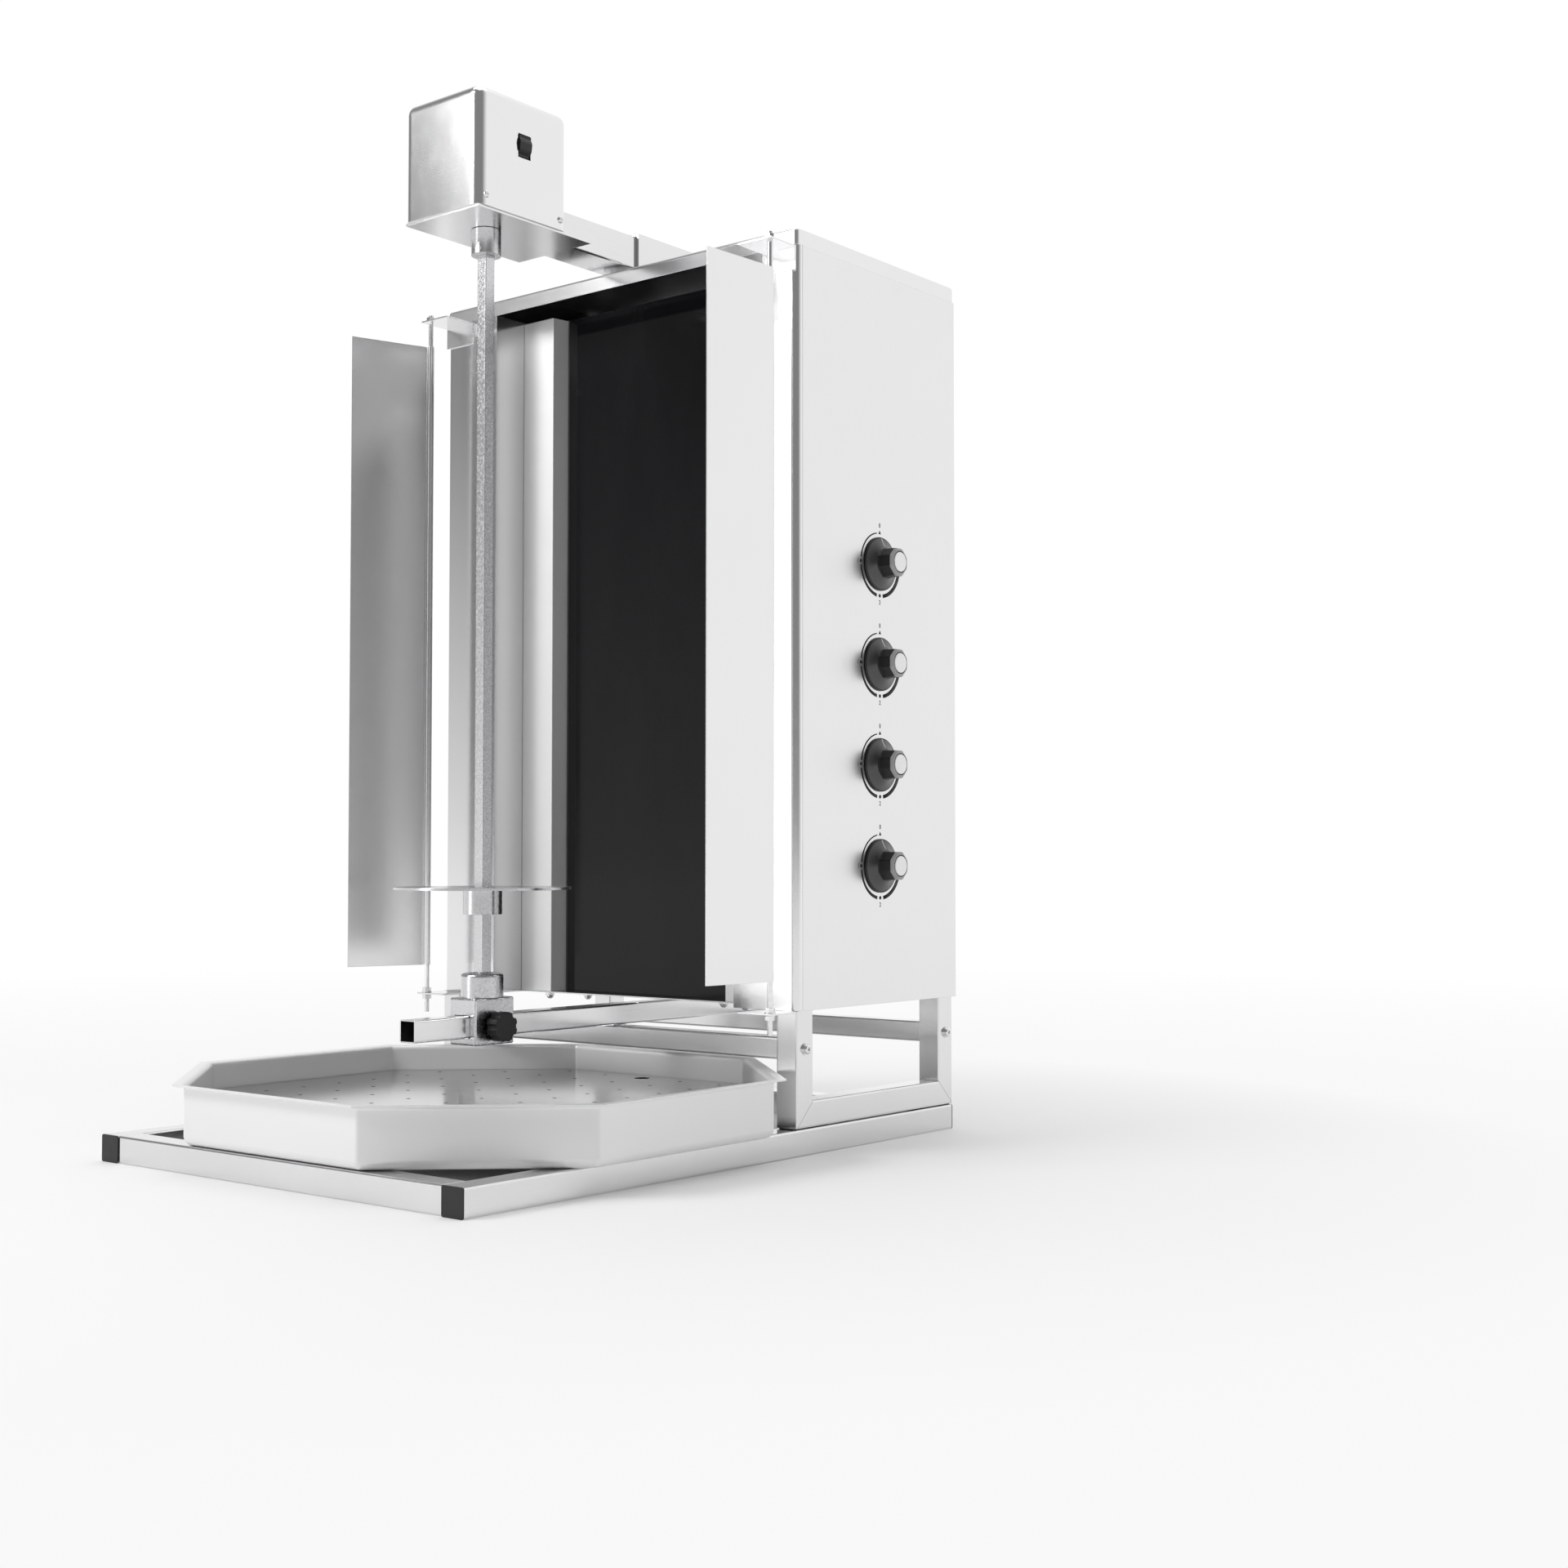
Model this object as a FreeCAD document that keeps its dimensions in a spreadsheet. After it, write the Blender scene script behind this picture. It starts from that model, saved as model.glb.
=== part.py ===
import FreeCAD, Part
import Sketcher
import math
import os
import re

# Vertical spit grill with a ceramic-glass radiant heater.  +Z is up, the glass faces -Y, X = 0 is the plane
# of symmetry and the origin is at the middle of the footprint.  Lengths are millimetres.  A dimension whose
# value is text is a formula of the sheet.

V = FreeCAD.Vector
doc = FreeCAD.newDocument("SpitGrill")
sheet = doc.addObject("Spreadsheet::Sheet", "Dims")

DIMENSIONS = [
    # base and side frames
    ("half_width", 293, "half of the width over the side panels"),
    ("front", 96, "y of the columns' front plane"),
    ("rear", 416, "y of the columns' rear plane"),
    ("tube", 30, "square tube of the base and the side frames"),
    ("wall", 1.5, "wall of every tube"),
    ("tube_round", 2.5, "outer corner radius of the tubes"),
    ("base_front", -404, "y of the base rails' front ends"),
    ("base_rear", 408, "y of the base rails' rear ends"),
    ("pad_gap", 1, "pads between the base rails and the side frames"),
    ("frame_top", 163, "top of the side frames, underside of the columns"),
    ("cross_tube", 25, "square tube of the cross rails and the beam"),
    ("cross_bottom", 107.5, "underside of the cross rails"),
    ("cross_inset", 3.5, "front cross rail behind the front post's face"),
    ("cross_rear_inset", 1.5, "rear cross rail ahead of the rear post's rear face"),
    ("beam_front", -219, "y of the beam's front end"),
    ("beam_gap", 1, "spacer washers under the beam"),
    ("plug_plate", 1.5, "head of a tube end plug"),
    ("plug_depth", 18, "shank of a tube end plug"),
    ("screw_radius", 3, "M6 screws"),
    ("screw_clear", 3.2, "clearance hole for an M6 screw"),
    ("button_radius", 5.8, "button head"),
    ("button_height", 3.6, "height of a button head"),
    ("washer_radius", 7, "washer under a button head"),
    ("washer_thick", 1.2, "thickness of a washer"),
    ("rod_washer", "=nut_flats * 0.62", "washer of a rod nut"),
    ("socket_radius", 2.2, "hexagon socket of a button head"),
    ("screw_dome", 2.6, "rounding of a button head"),
    # columns
    ("sheet_metal", 1.2, "thickness of the column sheets"),
    ("column_width", 93, "width of a column"),
    ("column_top", 1035, "top of the columns"),
    ("corner_round", 9, "radius of the columns' front outer corners"),
    ("corner_line", 10.5, "depth at which the side panel begins"),
    ("panel_gap", 0.3, "joint between the shell and the side panel"),
    # heater
    ("glass_depth", 71, "glass front face behind the columns' front plane"),
    ("glass_half", 138, "half of the glass"),
    ("glass_thick", 4, "ceramic glass"),
    ("seal", 2.8, "dark seal that shows beside the glass"),
    ("seal_depth", 6, "depth of the seal"),
    ("surround_depth", 49, "surround profile behind the columns' front plane"),
    ("surround_back", 77, "rear edge of the surround returns"),
    ("surround_lean", 5, "slant of the surround's inner return"),
    ("surround_gap", 0.2, "surround off the seal and off the column"),
    ("heater_bottom", 165, "underside of glass and surround"),
    ("heater_top", "=column_top - 2", "upper end of glass and surround"),
    ("floor_plate", 1.5, "plate under the heater"),
    ("housing_half", 190, "half width of the heater housing"),
    ("housing_front", 80, "housing front edge behind the columns' front plane"),
    ("housing_back", 200, "housing rear wall behind the columns' front plane"),
    ("housing_sheet", 1.2, "sheet of the housing"),
    ("zone_pitch", "=(heater_top - heater_bottom - 12) / 4", "spacing of the radiant zones"),
    ("zone_first", "=heater_bottom + 6 + zone_pitch / 2", "height of the lowest zone"),
    ("dish_width", 236, "width of a radiant heater"),
    ("dish_height", "=zone_pitch - 19", "height of a radiant heater"),
    ("dish_depth", 32, "depth of a radiant heater"),
    ("dish_rim", 14, "ceramic rim round the ribbon"),
    ("dish_floor", 14, "ceramic behind the ribbon"),
    ("ribbon_pitch", 22, "spacing of the ribbon's upright runs"),
    ("ribbon_half", "=dish_height / 2 - 24", "half length of a ribbon run"),
    ("ribbon_width", 7, "width of the ribbon"),
    ("ribbon_thick", 2, "thickness of the ribbon"),
    ("board_thick", 30, "insulation board"),
    ("board_inset", 4, "board inside the housing"),
    ("vent_half", 90, "half length of a vent slot"),
    ("vent_pitch", 10, "spacing of the vent slots"),
    ("vent_slot", 4, "height of a vent slot"),
    ("vent_low", "=heater_bottom + 60", "lowest vent slot"),
    ("vent_high", "=heater_top - 140", "lowest slot of the upper vents"),
    ("dome_radius", 6.5, "dome nut"),
    ("dome_height", 8, "height of a dome nut"),
    ("dome_hexagon", "=dome_height * 0.55", "hexagon of a dome nut"),
    ("dome_ball", "=dome_radius * 0.8", "ball on a dome nut"),
    ("dome_outer_x", 163.5, "x of the outer dome nuts"),
    ("dome_inner_x", 114, "x of the inner dome nuts"),
    ("dome_outer_depth", 65.5, "outer dome nuts behind the columns' front plane"),
    ("dome_inner_depth", 84.5, "inner dome nuts behind the columns' front plane"),
    # controls
    ("knob_depth", 160, "knob axes behind the columns' front plane"),
    ("knob_first", 326, "height of the lowest knob"),
    ("knob_pitch", 120, "spacing of the knobs"),
    ("skirt_radius", 32, "knob skirt"),
    ("skirt_edge", 1.6, "thickness of the skirt's edge"),
    ("skirt_depth", 9.5, "depth of the conical skirt"),
    ("skirt_top", 18.5, "skirt radius where the grip begins"),
    ("grip_flats", 33.4, "grip across its flats at the root"),
    ("knob_reach", 31, "knob from the panel to its end"),
    ("knob_gap", 0.6, "knob skirt off the panel"),
    ("bevel", 2.2, "bevel at the end of the grip"),
    ("cap_radius", 12, "light end cap"),
    ("cap_thick", 1, "thickness of the end cap"),
    ("spindle_radius", 3, "regulator spindle"),
    ("spindle_depth", 34, "spindle inside the panel"),
    ("spindle_play", 0.05, "radial clearance of the spindle in its regulator"),
    ("regulator", 44, "width and height of an energy regulator"),
    ("regulator_depth", 38, "depth of an energy regulator"),
    ("regulator_gap", 6, "regulator behind the panel"),
    ("spindle_hole", 5, "radius of the hole in the panel"),
    ("gland_x", 232, "x of the cable gland"),
    ("gland_y", 170, "y of the cable gland"),
    ("gland_radius", 13, "cable gland"),
    ("gland_bore", 5, "bore of the cable gland"),
    ("gland_height", 22, "gland below the column"),
    ("gland_nut", 7.7, "height of the gland's hexagon"),
    ("gland_inside", 10, "thread of the gland inside the column"),
    ("gland_wall", 3, "wall of the gland's thread"),
    ("gland_nose", 2.5, "wall of the gland's dome at its end"),
    ("terminal_width", 44, "terminal block"),
    ("terminal_depth", 22, "depth of the terminal block"),
    ("terminal_height", 20, "height of the terminal block"),
    ("terminal_inset", 18, "block beside the column's inner sheet"),
    ("terminal_rear", 48, "block ahead of the columns' rear plane"),
    ("terminal_slot", 4, "slot between two terminals"),
    ("terminal_pitch", 8, "spacing of the terminals"),
    ("terminal_base", 9, "solid base of the terminal block"),
    # side shields
    ("rod_x", 284, "x of the right shield's rod"),
    ("rod_ahead", 37, "rod ahead of the columns' front plane"),
    ("rod_radius", 3, "shield rod"),
    ("rod_bottom", 138, "lower end of the rod"),
    ("rod_top", "=column_top + 6", "upper end of the rod"),
    ("shield_bottom", 198, "lower edge of a shield"),
    ("shield_top", "=column_top - 35", "upper edge of a shield"),
    ("shield_length", 106, "shield from its rod to its free edge"),
    ("shield_sheet", 1.2, "sheet of a shield"),
    ("right_turn", 3.6, "degrees that the right shield turns inwards at rest"),
    ("left_turn", -18, "degrees that the left shield turns inwards at rest"),
    ("curl_play", 0.1, "clearance of the curl on the rod"),
    ("bracket_thick", 2, "rod brackets"),
    ("bracket_low", 160.8, "underside of the lower bracket"),
    ("bracket_high", "=column_top - 4", "underside of the upper bracket"),
    ("bracket_inner", 40, "bracket from the rod to its inner end"),
    ("bracket_outer", 8, "bracket from the rod to its outer end"),
    ("bracket_nose", 9, "bracket ahead of the rod"),
    ("bracket_foot", 60, "lower bracket under the column"),
    ("bracket_tab", 26, "tab of the upper bracket on the column"),
    ("nut_flats", 10, "M6 nut across its flats"),
    ("nut_height", 5, "height of an M6 nut"),
    # drip tray
    ("spit_y", -109, "y of the spit axis and of the tray's centre"),
    ("tray_half", 315, "half width over the tray walls"),
    ("tray_length", 296, "half length over the tray walls"),
    ("tray_side", 137, "half of the straight side"),
    ("tray_end", 141, "half of the straight end"),
    ("rim_half", 329, "half width over the rim"),
    ("rim_length", 307, "half length over the rim"),
    ("rim_side", 141.2, "half of the rim's straight side"),
    ("rim_end", 146.4, "half of the rim's straight end"),
    ("tray_bottom", 30.3, "underside of the tray"),
    ("tray_top", 95, "top of the rim"),
    ("tray_sheet", 1.5, "sheet of the tray"),
    ("tray_round", 10, "rounded lower edge of the tray"),
    ("tray_corner", 7, "radius of the tray's upright corners"),
    ("rim_bend", 6, "radius at which the wall bends into the rim"),
    ("insert_level", 63.4, "top of the perforated insert"),
    ("insert_sheet", 1.5, "sheet of the insert"),
    ("insert_play", 1.3, "gap between the insert and the tray walls"),
    ("foot_outer", 24, "insert foot inside the tray's side"),
    ("foot_inner", 60, "inner end of an insert foot"),
    ("foot_near", 60, "insert foot from the tray's centre"),
    ("foot_far", 100, "far end of an insert foot"),
    ("drain_x", 62.5, "hole spacing across"),
    ("drain_y", 53.5, "hole spacing along"),
    ("drain_radius", 2.6, "drain hole"),
    ("finger_radius", 9.5, "finger hole"),
    # spit, carriage and drive
    ("roof_top", "=column_top + 20", "top of the roof cover"),
    ("square", 14, "square spit shaft"),
    ("square_round", 1, "rounded edges of the square"),
    ("square_play", 0.05, "clearance of the disc on the square"),
    ("bar_bottom", 206, "lower end of the square"),
    ("bar_top", "=roof_top - 5", "upper end of the square"),
    ("pivot_radius", 6, "round pivot under the square"),
    ("pivot_length", 20, "length of the pivot"),
    ("disc_radius", 100, "meat disc"),
    ("disc_level", 302.5, "top of the meat disc"),
    ("disc_thick", 3, "meat disc sheet"),
    ("hub_radius", 22, "hub under the meat disc"),
    ("hub_height", 28, "height of the hub"),
    ("carriage_half", 21, "half width of the carriage"),
    ("carriage_length", 60, "length of the carriage"),
    ("carriage_play", 0.4, "clearance of the carriage on the beam"),
    ("carriage_top", 178, "top of the carriage"),
    ("carriage_bottom", 125, "underside of the carriage"),
    ("cup_radius", 24, "bearing cup"),
    ("cup_height", 27, "height of the bearing cup"),
    ("cup_round", 4, "rounded rim of the bearing cup"),
    ("clamp_level", 146, "height of the clamp knob"),
    ("clamp_radius", 17, "clamp knob"),
    ("clamp_neck", "=clamp_radius * 0.55", "neck behind the clamping knob"),
    ("clamp_gap", 3.5, "length of the knob's neck"),
    ("flute_radius", "=clamp_radius * 0.26", "finger groove of the knob"),
    ("flute_ring", "=clamp_radius * 1.12", "circle through the grooves' middles"),
    ("clamp_depth", 15, "depth of the clamp knob"),
    ("clamp_screw", 4, "clamp screw radius"),
    ("roof_round", 5, "rounded edges of the roof cover"),
    ("roof_inner_round", 3.8, "the same inside the roof cover"),
    ("guide_half", 30, "half width of the arm guide"),
    ("guide_wall", 3.7, "wall of the arm guide"),
    ("guide_length", 180, "length of the arm guide"),
    ("guide_ahead", 20, "guide behind the columns' front plane"),
    ("arm_width", 52, "motor arm"),
    ("arm_height", 40, "height of the motor arm"),
    ("arm_wall", 2, "wall of the motor arm"),
    ("arm_play", 0.3, "clearance of the arm in its guide"),
    ("arm_end", 326, "y of the arm's rear end"),
    ("head_half", 62, "half width of the motor cover"),
    ("head_length", 70, "half length of the motor cover"),
    ("head_top", "=roof_top + 140", "top of the motor cover"),
    ("head_round", 12, "rounded edges of the motor cover"),
    ("head_inner_round", 10, "the same inside the cover"),
    ("head_sheet", 2, "sheet of the motor cover"),
    ("gearbox_half", 42, "half width of the gearbox"),
    ("gearbox_length", 34, "half length of the gearbox"),
    ("gearbox_height", 46, "height of the gearbox"),
    ("motor_radius", 30, "motor can"),
    ("motor_length", 70, "length of the motor can"),
    ("output_length", 36, "gear output shaft above the drive socket"),
    ("plate_thick", 3, "motor plate"),
    ("plate_tail", 40, "motor plate under the arm"),
    ("socket_outer", 17, "drive socket"),
    ("socket_height", 29, "drive socket below the motor plate"),
    ("socket_play", 0.3, "clearance of the square in the socket"),
    ("output_radius", 8, "gear output shaft"),
    ("rocker_height", 26, "height of the rocker"),
    ("rocker_width", 18, "width of the rocker"),
    ("rocker_play", 0.6, "gap round the rocker"),
    ("rocker_tilt", 8, "degrees that the rocker tilts at rest"),
    ("rocker_level", "=roof_top + 85", "height of the rocker's pivot"),
]

for row, (alias, value, note) in enumerate(DIMENSIONS, 1):
    sheet.set(f"A{row}", note)
    sheet.setAlias(f"B{row}", alias)
for row, (alias, value, note) in enumerate(DIMENSIONS, 1):
    sheet.set(f"B{row}", str(value))
doc.recompute()

ALIASES = {alias for alias, value, note in DIMENSIONS}
SIDES = (("right", 1), ("left", -1))
OCTANT = 45.0


def dim(alias):
    return float(sheet.get(alias))


def bind(item, prop, text):
    """Bind a property to an expression in which the sheet's aliases are written bare."""
    def link(match):
        return ("Dims." if match.group() in ALIASES else "") + match.group()

    linked = re.sub(r"[a-z][a-z_]*", link, str(text))
    item.setExpression(prop, linked)


def place(item, corner):
    for axis, text in zip("xyz", corner):
        bind(item, f".Placement.Base.{axis}", text)


def span(name, low, high):
    """A box between two corners, each three expressions."""
    item = doc.addObject("Part::Box", name)
    for prop, a, b in zip(("Length", "Width", "Height"), low, high):
        bind(item, prop, f"({b}) - ({a})")
    place(item, low)
    return item


def mirror_x(side, low, high):
    """The x range from low to high on the right, or its mirror image on the left."""
    return (low, high) if side > 0 else (f"-({high})", f"-({low})")


TURN = {
    "x": FreeCAD.Rotation(V(0, 1, 0), 90),
    "y": FreeCAD.Rotation(V(1, 0, 0), -90),
    "z": FreeCAD.Rotation(),
}


def rod(name, radius, length, start, axis="z"):
    item = doc.addObject("Part::Cylinder", name)
    item.Placement = FreeCAD.Placement(V(), TURN[axis])
    bind(item, "Radius", radius)
    bind(item, "Height", length)
    place(item, start)
    return item


def cone(name, low_radius, high_radius, length, start, axis="z"):
    item = doc.addObject("Part::Cone", name)
    item.Placement = FreeCAD.Placement(V(), TURN[axis])
    bind(item, "Radius1", low_radius)
    bind(item, "Radius2", high_radius)
    bind(item, "Height", length)
    place(item, start)
    return item


def prism(name, sides, circumradius, length, start, axis="z"):
    item = doc.addObject("Part::Prism", name)
    item.Placement = FreeCAD.Placement(V(), TURN[axis])
    item.Polygon = sides
    bind(item, "Circumradius", circumradius)
    bind(item, "Height", length)
    place(item, start)
    return item


def fuse(name, *items):
    item = doc.addObject("Part::MultiFuse", name)
    item.Shapes = list(items)
    item.Refine = True
    return item


def cut(name, base, *tools):
    item = doc.addObject("Part::Cut", name)
    item.Base = base
    item.Tool = tools[0] if len(tools) == 1 else group(name + "_tools", *tools)
    return item


def group(name, *items):
    item = doc.addObject("Part::Compound", name)
    item.Links = list(items)
    return item


def edge_direction(edge):
    first, last = edge.Vertexes[0].Point, edge.Vertexes[-1].Point
    return (last - first).normalize() if edge.Length and first.distanceToPoint(last) > 1e-6 else V()


def rounded(name, base, radius, wanted):
    """Round the edges of base that wanted(edge) picks."""
    doc.recompute()
    item = doc.addObject("Part::Fillet", name)
    item.Base = base
    edges = enumerate(base.Shape.Edges, 1)
    item.Edges = [(number, dim(radius), dim(radius)) for number, edge in edges if wanted(edge)]
    return item


def along(axis):
    unit = {"x": V(1, 0, 0), "y": V(0, 1, 0), "z": V(0, 0, 1)}[axis]
    return lambda edge: abs(edge_direction(edge).dot(unit)) > 0.999


def square_tube(name, low, high, axis, wall="wall", radius="tube_round"):
    """A hollow square tube with rounded long edges and open ends."""
    outer = rounded(name + "_outer", span(name + "_block", low, high), radius, along(axis))
    inner_low = [text if a == axis else f"{text} + {wall}" for a, text in zip("xyz", low)]
    inner_high = [text if a == axis else f"{text} - {wall}" for a, text in zip("xyz", high)]
    return cut(name, outer, span(name + "_bore", inner_low, inner_high))


def new_body(name):
    return doc.addObject("PartDesign::Body", name)


def new_sketch(body, name, role, offset="0"):
    item = body.newObject("Sketcher::SketchObject", name)
    support = [feature for feature in body.Origin.OriginFeatures if feature.Role == role][0]
    item.AttachmentSupport = (support, "")
    item.MapMode = "FlatFace"
    bind(item, ".AttachmentOffset.Base.z", offset)
    return item


def outline(item, points):
    """A closed outline whose corners are pairs of expressions, held by their distances to the origin."""
    count = len(points)
    first = item.GeometryCount
    turn = 2 * math.pi / count
    ring = [V(math.cos(turn * i), math.sin(turn * i), 0) * 100 for i in range(count)]
    for i in range(count):
        item.addGeometry(Part.LineSegment(ring[i], ring[(i + 1) % count]), False)
    for i in range(count):
        item.addConstraint(Sketcher.Constraint("Coincident", first + i, 2, first + (i + 1) % count, 1))
    for i, pair in enumerate(points):
        for kind, text, guess in zip(("DistanceX", "DistanceY"), pair, ring[i]):
            number = item.addConstraint(Sketcher.Constraint(kind, -1, 1, first + i, 1, guess))
            bind(item, f"Constraints[{number}]", text)


def pad(body, name, profile, length, reverse=False):
    item = body.newObject("PartDesign::Pad", name)
    item.Profile = profile
    item.Reversed = reverse
    bind(item, "Length", length)
    return item


def octagon(half_x, half_y, side, end, shrink="0"):
    """Corners of the tray's outline, shrunk all round by one distance."""
    lean = f"({shrink}) * 0.41"
    x = f"{half_x} - ({shrink})"
    y = f"{half_y} - ({shrink})"
    s = f"{side} - {lean}"
    e = f"{end} - {lean}"
    upper = [(x, f"spit_y + {s}"), (e, f"spit_y + {y}"),
             (f"-({e})", f"spit_y + {y}"), (f"-({x})", f"spit_y + {s}")]
    lower = [(f"-({x})", f"spit_y - ({s})"), (f"-({e})", f"spit_y - ({y})"),
             (e, f"spit_y - ({y})"), (x, f"spit_y - ({s})")]
    return upper + lower


nodes = {}


def keep(item, label):
    """Give a finished sub-part its name, and list it for writing."""
    item.Label = label
    nodes[label] = item
    return item


# ---- base and side frames ----

def base_rail(side, hand):
    x0, x1 = mirror_x(hand, "half_width - tube", "half_width")
    low = (x0, "base_front + plug_plate", "0")
    high = (x1, "base_rear - plug_plate", "tube")
    return keep(square_tube(f"rail_{side}", low, high, "y"), f"base_rail_{side}")


def base_cross(end, y0, y1):
    low = ("-(half_width - tube)", y0, "0")
    high = ("half_width - tube", y1, "tube")
    return keep(square_tube(f"cross_{end}", low, high, "x"), f"base_cross_{end}")


def end_plugs():
    plugs = []
    for side, hand in SIDES:
        x0, x1 = mirror_x(hand, "half_width - tube", "half_width")
        for end, plate, shank in (("front", ("base_front", "base_front + plug_plate"),
                                   ("base_front + plug_plate", "base_front + plug_depth")),
                                  ("rear", ("base_rear - plug_plate", "base_rear"),
                                   ("base_rear - plug_depth", "base_rear - plug_plate"))):
            name = f"plug_{side}_{end}"
            head = rounded(name + "_head", span(name + "_plate", (x0, plate[0], "0"), (x1, plate[1], "tube")),
                           "tube_round", along("y"))
            body = span(name + "_shank", (f"{x0} + wall", shank[0], "wall"),
                        (f"{x1} - wall", shank[1], "tube - wall"))
            plugs.append(fuse(name, head, body))
    return keep(group("plugs", *plugs), "rail_end_plugs")


def screw_places():
    """y and z of the screws that hold the two cross rails."""
    level = "cross_bottom + cross_tube / 2"
    front = ("front + cross_inset + cross_tube / 2", level)
    rear = ("base_rear - cross_rear_inset - cross_tube / 2", level)
    return (("front", front), ("rear", rear))


def side_frame(side, hand):
    """A U of square tube, open upwards, welded with mitred lower corners."""
    body = new_body(f"frame_{side}")
    far = "half_width - tube" if hand > 0 else "-half_width"

    def u_outline(name, inset, top, offset):
        item = new_sketch(body, name, "YZ_Plane", offset)
        y0, y1 = f"front + {inset}", f"base_rear - {inset}"
        y2, y3 = f"front + tube - {inset}", f"base_rear - tube + {inset}"
        z0, z1 = f"tube + pad_gap + {inset}", f"2 * tube + pad_gap - {inset}"
        outline(item, [(y0, z0), (y1, z0), (y1, top), (y3, top), (y3, z1), (y2, z1), (y2, top), (y0, top)])
        return item

    pad(body, f"frame_pad_{side}", u_outline(f"frame_outer_{side}", "0", "frame_top", far), "tube")
    doc.recompute()
    solid = body.Tip
    long_edges = [f"Edge{n}" for n, e in enumerate(solid.Shape.Edges, 1)
                  if abs(edge_direction(e).x) < 0.5 and e.Vertexes[0].Point.z + e.Vertexes[1].Point.z
                  < 2 * dim("frame_top") - 0.01]
    fillet = body.newObject("PartDesign::Fillet", f"frame_round_{side}")
    fillet.Base = (solid, long_edges)
    bind(fillet, "Radius", "tube_round")
    doc.recompute()
    bore = body.newObject("PartDesign::Pocket", f"frame_bore_{side}")
    bore.Profile = u_outline(f"frame_inner_{side}", "wall", "frame_top", f"{far} + wall")
    bore.Reversed = True
    bind(bore, "Length", "tube - 2 * wall")
    holes = [rod(f"frame_hole_{side}_{end}", "screw_clear", "tube + 2", (f"{far} - 1", y, z), "x")
             for end, (y, z) in screw_places()]
    return keep(cut(f"drilled_frame_{side}", body, *holes), f"side_frame_{side}")


def frame_pads():
    pads = []
    for side, hand in SIDES:
        x0, x1 = mirror_x(hand, "half_width - tube + tube_round", "half_width - tube_round")
        for end, y0, y1 in (("front", "front + tube_round", "front + 2 * tube"),
                            ("rear", "base_rear - 2 * tube", "base_rear - plug_plate - tube_round")):
            pads.append(span(f"pad_{side}_{end}", (x0, y0, "tube"), (x1, y1, "tube + pad_gap")))
    return keep(group("pads", *pads), "frame_pads")


def button_screw(name, hand, y, z, reach):
    """A button-head screw with its washer, along x, whose washer lies on the side frame."""
    axis_turn = hand > 0
    face = "half_width" if axis_turn else "-half_width"

    def piece(part, radius, offset, length):
        start = f"{face} + {offset}" if axis_turn else f"{face} - ({offset}) - ({length})"
        return rod(f"{name}_{part}", radius, length, (start, y, z), "x")

    washer = piece("washer", "washer_radius", "0", "washer_thick")
    head = piece("head", "button_radius", "washer_thick", "button_height")
    shank = piece("shank", "screw_radius", f"-{reach}", reach)
    recess = piece("recess", "socket_radius", "washer_thick + button_height - 2", "3")
    end = V(1, 0, 0) * hand
    whole = fuse(name + "_solid", washer, head, shank)

    def outer_rim(edge):
        middle = edge.BoundBox.Center
        outward = middle.dot(end) > dim("half_width") + dim("washer_thick") + dim("button_height") - 0.1
        return outward and edge.BoundBox.ZLength > dim("button_radius")

    return cut(name, rounded(name + "_domed", whole, "screw_dome", outer_rim), recess)


def frame_screws():
    screws = [button_screw(f"screw_{side}_{end}", hand, y, z, "(tube + 14)")
              for side, hand in SIDES for end, (y, z) in screw_places()]
    for end, (y, z) in screw_places():
        low = "cross_bottom + cross_tube - wall - 6"
        shank = rod(f"beam_shank_{end}", "screw_radius", "6 + 2 * wall + beam_gap + 6", ("0", y, low))
        washer = rod(f"beam_washer_{end}", "cross_tube / 2 - 1", "beam_gap",
                     ("0", y, "cross_bottom + cross_tube"))
        screws.append(fuse(f"beam_screw_{end}", shank, washer))
    return keep(group("screws", *screws), "frame_screws")


def cross_rail(end):
    y, z = dict(screw_places())[end]
    low = ("-(half_width - tube)", f"{y} - cross_tube / 2", "cross_bottom")
    high = ("half_width - tube", f"{y} + cross_tube / 2", "cross_bottom + cross_tube")
    tube = square_tube(f"rail_{end}", low, high, "x")
    hole = rod(f"rail_hole_{end}", "screw_clear", "cross_tube", ("0", y, "cross_bottom + cross_tube / 2"))
    return keep(cut(f"rail_drilled_{end}", tube, hole), f"{end}_cross_rail")


def centre_beam():
    bottom = "cross_bottom + cross_tube + beam_gap"
    low = ("-cross_tube / 2", "beam_front", bottom)
    high = ("cross_tube / 2", "base_rear - cross_rear_inset", f"{bottom} + cross_tube")
    tube = square_tube("beam", low, high, "y")
    holes = [rod(f"beam_hole_{end}", "screw_clear", "cross_tube / 2", ("0", y, f"{bottom} - 2"))
             for end, (y, z) in screw_places()]
    return keep(cut("beam_drilled", tube, *holes), "centre_beam")


# ---- columns ----

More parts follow.
